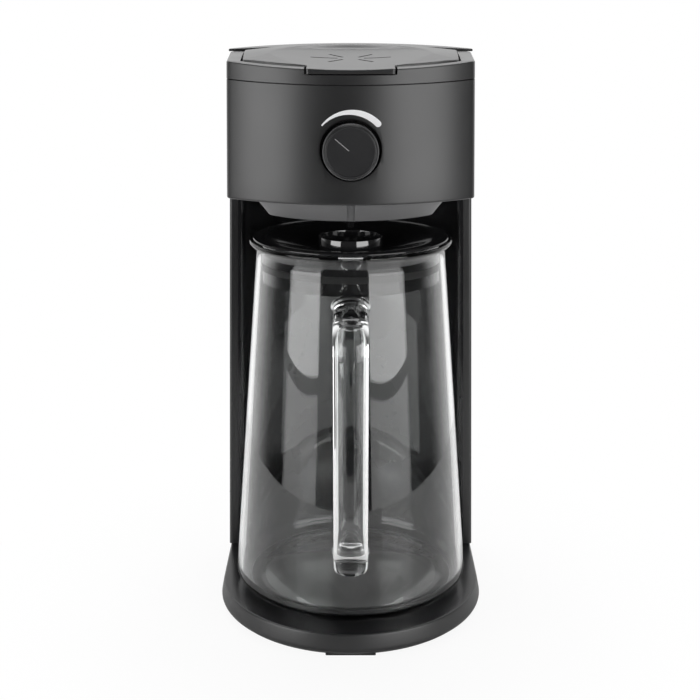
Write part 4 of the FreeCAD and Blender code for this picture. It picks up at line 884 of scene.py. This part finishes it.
def make_lid():
    bm = bmesh.new()
    centre = Vector((0, ARROWS_Y))
    outline = tab_ring(0)
    inner_outline = tab_ring(-2.4)

    def stations(ring):
        """Rings from the middle out to a ring, closer together where the scoop ends."""
        rows = []
        for part, count in ((0, 12), (1, 8), (2, 6)):
            for k in range(0 if part == 0 else 1, count + 1):
                row = []
                for p in ring:
                    reach = (p - centre).length
                    stops = (0, min(43.5, 0.8 * reach), min(49.5, 0.93 * reach), reach)
                    a, b = stops[part], stops[part + 1]
                    row.append(centre + (p - centre).normalized() * (a + (b - a) * max(0.00001, k / count)))
                rows.append(row)
        return rows

    edge = 0.7
    rings = [[(p.x, p.y, lid_height(p.x, p.y)) for p in row] for row in stations(tab_ring(-edge))]
    for k in range(1, 6):
        turn = math.pi / 2 * k / 5
        row = tab_ring(-edge + edge * math.sin(turn))
        rings.append([(p.x, p.y, max(lid_height(p.x, p.y) - edge * (1 - math.cos(turn)), lid_low(p.y)))
                      for p in row])
    rings.append([(p.x, p.y, lid_low(p.y)) for p in outline])
    rings.append([(p.x, p.y, lid_low(p.y)) for p in inner_outline])
    for row in reversed(stations(inner_outline)):
        ring = []
        for p in row:
            roof = lid_height(p.x, p.y, 2.4)
            ring.append((p.x, p.y, max(roof, lid_low(p.y) + 0.05)))
        rings.append(ring)
    add_rings(bm, rings)
    skin = paint(SATIN_TOP_PAINTED_LIGHT, finish_mesh("lid_skin", bm, "lid", ("top_lid",), 35))
    combine(skin, arrow_cutters() + [pin_cutter(1.55)], 35)
    # Faces that look up get the lighter grey, painted light from above; the rest stay satin black.
    paint_lit_tops(skin, SATIN_TOP_PAINTED_LIGHT, SATIN)


def arrow_cutters():
    """Grooves for the two arrows that point at each other on the scoop's floor."""
    tools = []
    for side in (-1, 1):
        strokes = [((7.5, 0), (23, 0), 1.0), ((4.5, 5), (12.5, 16.5), 0.8), ((4.5, -5), (12.5, -16.5), 0.8)]
        for number, (tail, tip, half) in enumerate(strokes):
            a = Vector((tail[0] * side, tail[1] + ARROWS_Y))
            b = Vector((tip[0] * side, tip[1] + ARROWS_Y))
            along = (b - a).normalized()
            across = Vector((-along.y, along.x)) * half
            bm = bmesh.new()
            rings = []
            for k in range(9):
                p = a.lerp(b, k / 8)
                low = trough_height(p.x, p.y) - 0.5
                rings.append([(p.x - across.x, p.y - across.y, low), (p.x + across.x, p.y + across.y, low),
                              (p.x + across.x * 1.3, p.y + across.y * 1.3, low + 6),
                              (p.x - across.x * 1.3, p.y - across.y * 1.3, low + 6)])
            add_rings(bm, rings, cap_first=True, cap_last=True)
            tools.append(cutter("arrow_%d_%d" % (side, number), bm))
    return tools


def cover_ring(inset):
    half, front, side, reach = 78.3 - inset, 79.6 + inset, 82, 121 - inset
    centre = sag_centre(half, reach, side)
    return closed_ring([straight((-half, front), (half, front)), straight((half, front), (half, side)),
                        curved((half, side), (-half, side), (0, centre)),
                        straight((-half, side), (-half, front))], [0.6, 0, 0, 0], [60, 2, 60, 2])


def make_cover():
    bm = bmesh.new()
    centre = Vector((0, 98))
    bottom, dome = 341.7, 1500

    def top(p):
        return 345.4 - dome + math.sqrt(dome ** 2 - p.x ** 2 - (p.y - 100) ** 2)

    def shrunk(share):
        return [centre + (p - centre) * share for p in cover_ring(0.5)]
    rings = []
    for share in (0.00001, 0.25, 0.5, 0.75, 0.93):
        rings.append([(p.x, p.y, top(p)) for p in shrunk(share)])
    for inset, drop in ((0.5, 0), (0.25, 0.07), (0.07, 0.25), (0, 0.5)):
        rings.append([(p.x, p.y, top(p) - drop) for p in cover_ring(inset)])
    rings += [level(cover_ring(0), bottom + 0.25), level(cover_ring(0.25), bottom)]
    rings.append(level(shrunk(0.00001), bottom))
    add_rings(bm, rings)

    def skirt(inset):
        """The rib below the cover that fits into the tank's opening."""
        half, reach = TANK_HALF - 7 - inset, TANK_REACH - 7 - inset
        centre_y = sag_centre(half, reach, SIDE_END)
        arc = curved((half, SIDE_END), (-half, SIDE_END), (0, centre_y))[0]
        return [Vector((half, 79.8))] + [arc(k / 40) for k in range(41)] + [Vector((-half, 79.8))]
    strip_solid(bm, lambda z: skirt(0), lambda z: skirt(1.6), [336.7, bottom + 0.05])
    skin = finish_mesh("cover_skin", bm, "tank_cover", ("rear_cover",), 35, weld=False)
    # Faces that look up get the lighter grey, painted light from above; the rest stay satin black.
    paint_lit_tops(skin, SATIN_TOP_PAINTED_LIGHT, SATIN)


# Brew well

def well_ring(grow):
    cut = 3.0
    half, rear_half = 47.4 + grow, 51 + grow
    front, corner, rear = 47 + grow, 25 + grow / 2, 34 + grow / 2
    centre = -sag_centre(half, front, corner)
    return closed_ring([curved((-half, -corner), (half, -corner), (0, centre)),
                        straight((half, -corner), (rear_half, rear)),
                        straight((rear_half, rear), (-rear_half, rear)),
                        straight((-rear_half, rear), (-half, -corner))], [cut, cut, 4, 4], [64, 24, 40, 24])


def make_well():
    bm = bmesh.new()
    outline = well_ring(0)

    def hole(radius, z):
        return level(towards(outline, radius), z)
    rings = [hole(8.5, 255.6), hole(8.5, 254.0), hole(8.9, 253.6), level(towards(outline, 20, 0.9), 253.6)]
    edge = [(-6, 253.6), (0, 253.6), (1.4, 255.8), (8.1, 264.9), (7.1, 265.0)]
    for grow, z in round_profile(edge, [0.9, 0.9, 0.4], 4):
        rings.append(level(well_ring(grow), z))
    rings += [level(well_ring(5.5), 265.0), level(well_ring(-1.4), 256.6), level(well_ring(-2.4), 255.6)]
    add_rings(bm, rings, wrap=True)
    bowl = finish_mesh("well_bowl", bm, "housing", ("brew_well",), 35)
    paint(GREY, bowl)

    # The upright groove at the front
    bm = bmesh.new()
    groove = ((-62, 268), (-54.0, 264.6), (-47.0, 255.6), (-45.8, 253), (-60, 250), (-66, 262))
    rings = [[(x, y, z) for y, z in groove] for x in (-2.2, 2.2)]
    add_rings(bm, rings, cap_first=True, cap_last=True)
    combine(bowl, [cutter("well_groove", bm)], 35)
    paint(GREY, bowl)

    bm = bmesh.new()
    plate = [Vector((p.x, min(p.y, 48.4))) for p in head_ring(HEAD_BOTTOM, 2.75)]
    inner = [p.normalized() * 46 for p in plate]
    low, high = 265.2, 267.3
    add_rings(bm, [level(inner, low), level(plate, low), level(plate, high), level(inner, high)], wrap=True)
    paint(SATIN, finish_mesh("well_plate", bm, "housing", (), 35))
    wall = [(43, 255.8), (45, 255.8), (45, 320), (51, 320), (51, 322), (43, 322), (43, 255.8)]
    paint(GREY, turned("well_wall", round_profile(wall, [0.1, 0.1, 0.3, 0.3, 0.4], 3), "housing"))


# Jug lid

def make_jug_lid():
    neck = 54.4
    points = [(8, 221.5), (10, 221.5), (neck - 6, 232.5), (neck - 2.6, 230.5), (neck - 2.6, 211.5),
              (neck - 0.8, 211.5), (neck - 0.8, 234), (56.9, 235.8), (58.9, 235.9), (58.9, 237.1),
              (neck - 4, 237.1), (8, 224), (8, 221.5)]
    profile = round_profile(points, [0.4, 1, 0.8, 0.4, 0.4, 0.5, 0.2, 0.5, 0.6, 3.0, 1.2], 4)
    paint(LID_BLACK, turned("jug_cap", profile, "jug_cover", ("jug_lid",), 160))


def handle_path():
    """Points (y, z) along the handle's centre line, from the jug's neck to its foot."""
    corners = [Vector((-57.2, 207.2)), Vector((-102, 207.2)), Vector((-102, 62.1)), Vector((-68.8, 62.1))]
    points = []
    for i, radius in ((1, 20), (2, 13)):
        before = (corners[i - 1] - corners[i]).normalized()
        after = (corners[i + 1] - corners[i]).normalized()
        middle = corners[i] + (before + after) * radius
        start = corners[i - 1] if i == 1 else points[-1]
        enter = corners[i] + before * radius
        steps = 24 if i == 1 else 30
        points += [start.lerp(enter, k / steps) for k in range(steps)]
        for k in range(17):
            turn = math.pi / 2 * k / 16
            points.append(middle - after * radius * math.cos(turn) - before * radius * math.sin(turn))
    points += [points[-1].lerp(corners[3], k / 20) for k in range(1, 21)]
    cleaned = [points[0]]
    for point in points[1:]:
        if (point - cleaned[-1]).length > 0.05:
            cleaned.append(point)
    return cleaned


def make_jug():
    """The glass: turned body with a thick rounded bottom and a flared lip, and the rod handle fused to it."""
    outline = [(NEARLY_ZERO, 15.4), (56, 15.4), (58.5, PAD_TOP), (64.2, PAD_TOP)]
    for k in range(1, 9):
        turn = math.pi / 2 * k / 8
        outline.append((64.2 + 9.05 * math.sin(turn), 23.6 - 9.1 * math.cos(turn)))
    outline += [(73.25 - 15.85 * k / 12, 23.7 + 204.3 * k / 12) for k in range(1, 12)]
    for k in range(7):
        outline.append(tuple(bend(Vector((57.63, 225)), Vector((57.35, 230)), Vector((60.9, 233.6)), k / 6)))
    outline += [(61.08, 234.3), (60.9, 235.0), (60.3, 235.4), (59.4, 235.45), (58.6, 235.1)]
    for k in range(1, 8):
        outline.append(tuple(bend(Vector((58.1, 234.6)), Vector((54.5, 230.5)), Vector((54.65, 225)), k / 7)))
    outline.append((55.75, 211))
    outline += [(55.75 + 14.53 * k / 12, 211 - 184.3 * k / 12) for k in range(1, 13)]
    for k in range(1, 9):
        turn = math.pi / 2 * k / 8
        outline.append((63.2 + 7.08 * math.cos(turn), 26.3 - 7.3 * math.sin(turn)))
    outline += [(50, 19.0), (30, 19.2), (NEARLY_ZERO, 19.2)]
    body = turned("jug_skin", outline, "jug", ("jug_glass",), 192, 50)
    path = handle_path()
    lengths = [0.0]
    for a, b in zip(path, path[1:]):
        lengths.append(lengths[-1] + (b - a).length)
    rings = []
    for i, point in enumerate(path):
        direction = (path[min(i + 1, len(path) - 1)] - path[max(i - 1, 0)]).normalized()
        across = Vector((-direction.y, direction.x))
        reach = min(lengths[i], lengths[-1] - lengths[i])
        size = 1 + 0.14 * math.exp(-((reach - 1.6) / 2.4) ** 2) + 0.05 * math.exp(-((reach - 6.5) / 1.1) ** 2)
        ring = []
        for k in range(56):
            angle = 2 * math.pi * k / 56
            offset = across * 5.76 * size * math.sin(angle)
            ring.append((9.9 * size * math.cos(angle), point.x + offset.x, point.y + offset.y))
        rings.append(ring)
    bm = bmesh.new()
    add_rings(bm, rings, cap_first=True, cap_last=True)
    combine(body, [cutter("handle", bm)], 50, "UNION")
    paint(CLEAR, body)


def make_nozzle_sleeve():
    """The black sleeve round the basket's nozzle."""
    points = [(7.02, 255.0), (7.02, 246.0), (5.2, 246.0), (5.2, 245.7), (7.3, 245.7), (7.3, 255.0),
              (7.02, 255.0)]
    profile = round_profile(points, [0, 0.1, 0.1, 0.25, 0.1], 3)
    paint(LID_BLACK, turned("nozzle_sleeve", profile, "basket", (), 64))


def make_lid_collar():
    """The raised collar round the drip hole in the jug's lid."""
    points = [(17.8, 226), (18.9, 226), (19.9, 232.2), (19.2, 236.8), (18.2, 236.8), (17.8, 226)]
    profile = round_profile(points, [0.2, 0.3, 0.3, 0.3], 4)
    paint(COLLAR, turned("lid_collar", profile, "jug_cover", (), 128))


make_base()
make_feet()
make_tower()
make_bay()
make_head()
make_cup()
make_knob()
make_wedge()
make_frame()
make_lid()
make_cover()
make_well()
make_jug_lid()
make_lid_collar()
make_nozzle_sleeve()
make_jug()

# Stage

def stage_material():
    """White to the camera, fading to the backdrop's pure white away from the object."""
    material, nodes, links, shader = node_material("floor_white")
    shader.inputs["Base Color"].default_value = (0.9, 0.9, 0.9, 1)
    shader.inputs["Roughness"].default_value = 0.6
    shader.inputs["Specular IOR Level"].default_value = 0.2
    coords = nodes.new("ShaderNodeTexCoord")
    reach = nodes.new("ShaderNodeVectorMath")
    reach.operation = "LENGTH"
    links.new(coords.outputs["Object"], reach.inputs[0])
    fade = nodes.new("ShaderNodeMapRange")
    fade.interpolation_type = "SMOOTHSTEP"
    fade.inputs["From Min"].default_value = 0.1
    fade.inputs["From Max"].default_value = 0.26
    fade.inputs["To Min"].default_value = 0.92
    fade.inputs["To Max"].default_value = 1.0
    links.new(reach.outputs["Value"], fade.inputs["Value"])
    glow = nodes.new("ShaderNodeEmission")
    glow.inputs["Strength"].default_value = 1.0
    path = nodes.new("ShaderNodeLightPath")
    share = nodes.new("ShaderNodeMath")
    share.operation = "MULTIPLY"
    links.new(path.outputs["Is Camera Ray"], share.inputs[0])
    links.new(fade.outputs["Result"], share.inputs[1])
    mix = nodes.new("ShaderNodeMixShader")
    links.new(share.outputs["Value"], mix.inputs["Fac"])
    links.new(shader.outputs["BSDF"], mix.inputs[1])
    links.new(glow.outputs["Emission"], mix.inputs[2])
    links.new(mix.outputs["Shader"], nodes["Material Output"].inputs["Surface"])
    return material


def make_floor():
    bm = bmesh.new()
    bmesh.ops.create_circle(bm, cap_ends=True, segments=128, radius=FLOOR_RADIUS)
    mesh = bpy.data.meshes.new("floor")
    bm.to_mesh(mesh)
    bm.free()
    floor = bpy.data.objects.new("floor", mesh)
    bpy.context.scene.collection.objects.link(floor)
    floor.location = (0, 0, -0.0002)
    paint(stage_material(), floor)


def make_world():
    """A white wall behind the object and a dim room in front of it; white to the camera itself."""
    world = bpy.data.worlds.new("studio")
    bpy.context.scene.world = world
    world.use_nodes = True
    nodes, links = world.node_tree.nodes, world.node_tree.links
    nodes.clear()
    out = nodes.new("ShaderNodeOutputWorld")
    white = nodes.new("ShaderNodeBackground")
    white.inputs["Color"].default_value = (1, 1, 1, 1)
    white.inputs["Strength"].default_value = 1.0
    room = nodes.new("ShaderNodeBackground")
    coords = nodes.new("ShaderNodeTexCoord")
    parts = nodes.new("ShaderNodeSeparateXYZ")
    links.new(coords.outputs["Generated"], parts.inputs["Vector"])
    tone = ramp(nodes, links, parts.outputs["Y"],
                [(0.0, (0.05, 0.05, 0.05)), (0.15, (0.12, 0.12, 0.12)), (0.5, (1.0, 1.0, 1.0))])
    links.new(tone.outputs["Color"], room.inputs["Color"])
    room.inputs["Strength"].default_value = 1.0
    path = nodes.new("ShaderNodeLightPath")
    mix = nodes.new("ShaderNodeMixShader")
    links.new(path.outputs["Is Camera Ray"], mix.inputs["Fac"])
    links.new(room.outputs["Background"], mix.inputs[1])
    links.new(white.outputs["Background"], mix.inputs[2])
    links.new(mix.outputs["Shader"], out.inputs["Surface"])


def softbox(name, azimuth, distance, height, size, power, target=(0, -0.02, 0.2)):
    """An area lamp at an azimuth from the front, positive to the right, aimed at the object."""
    angle = math.radians(azimuth)
    lamp = bpy.data.lights.new(name, "AREA")
    lamp.shape = "RECTANGLE"
    lamp.size, lamp.size_y = size
    lamp.energy = power
    obj = bpy.data.objects.new(name, lamp)
    bpy.context.scene.collection.objects.link(obj)
    obj.location = (distance * math.sin(angle), -distance * math.cos(angle), height)
    aim = Vector(target) - obj.location
    obj.rotation_euler = aim.to_track_quat("-Z", "Y").to_euler()


def make_lights():
    softbox("left_softbox", -54.5, 1.3, 0.435, (0.9, 0.93), 9.4, (0, 0, 0.435))
    softbox("right_softbox", 42.5, 1.3, 0.435, (1.03, 0.93), 10.4, (0, 0, 0.435))
    softbox("left_low_softbox", -54.5, 1.3, -0.4, (0.9, 0.68), 2.6, (0, 0, -0.4))
    softbox("right_low_softbox", 42.5, 1.3, -0.4, (1.03, 0.68), 3.0, (0, 0, -0.4))
    softbox("top_softbox", 180, 0.5, 1.5, (1.2, 0.8), 12)


def make_camera():
    data = bpy.data.cameras.new("camera")
    data.sensor_width = 36
    data.lens = 36 * 1258 / 700
    camera = bpy.data.objects.new("camera", data)
    bpy.context.scene.collection.objects.link(camera)
    camera.location = (-0.0004, -0.750 + AXIS_Y * 0.001, 0.3785 + LIFT * 0.001)
    camera.rotation_euler = (math.radians(90 - 15.9), 0, 0)
    bpy.context.scene.camera = camera


make_floor()
make_world()
make_lights()
make_camera()
bpy.context.scene.view_settings.view_transform = "Standard"
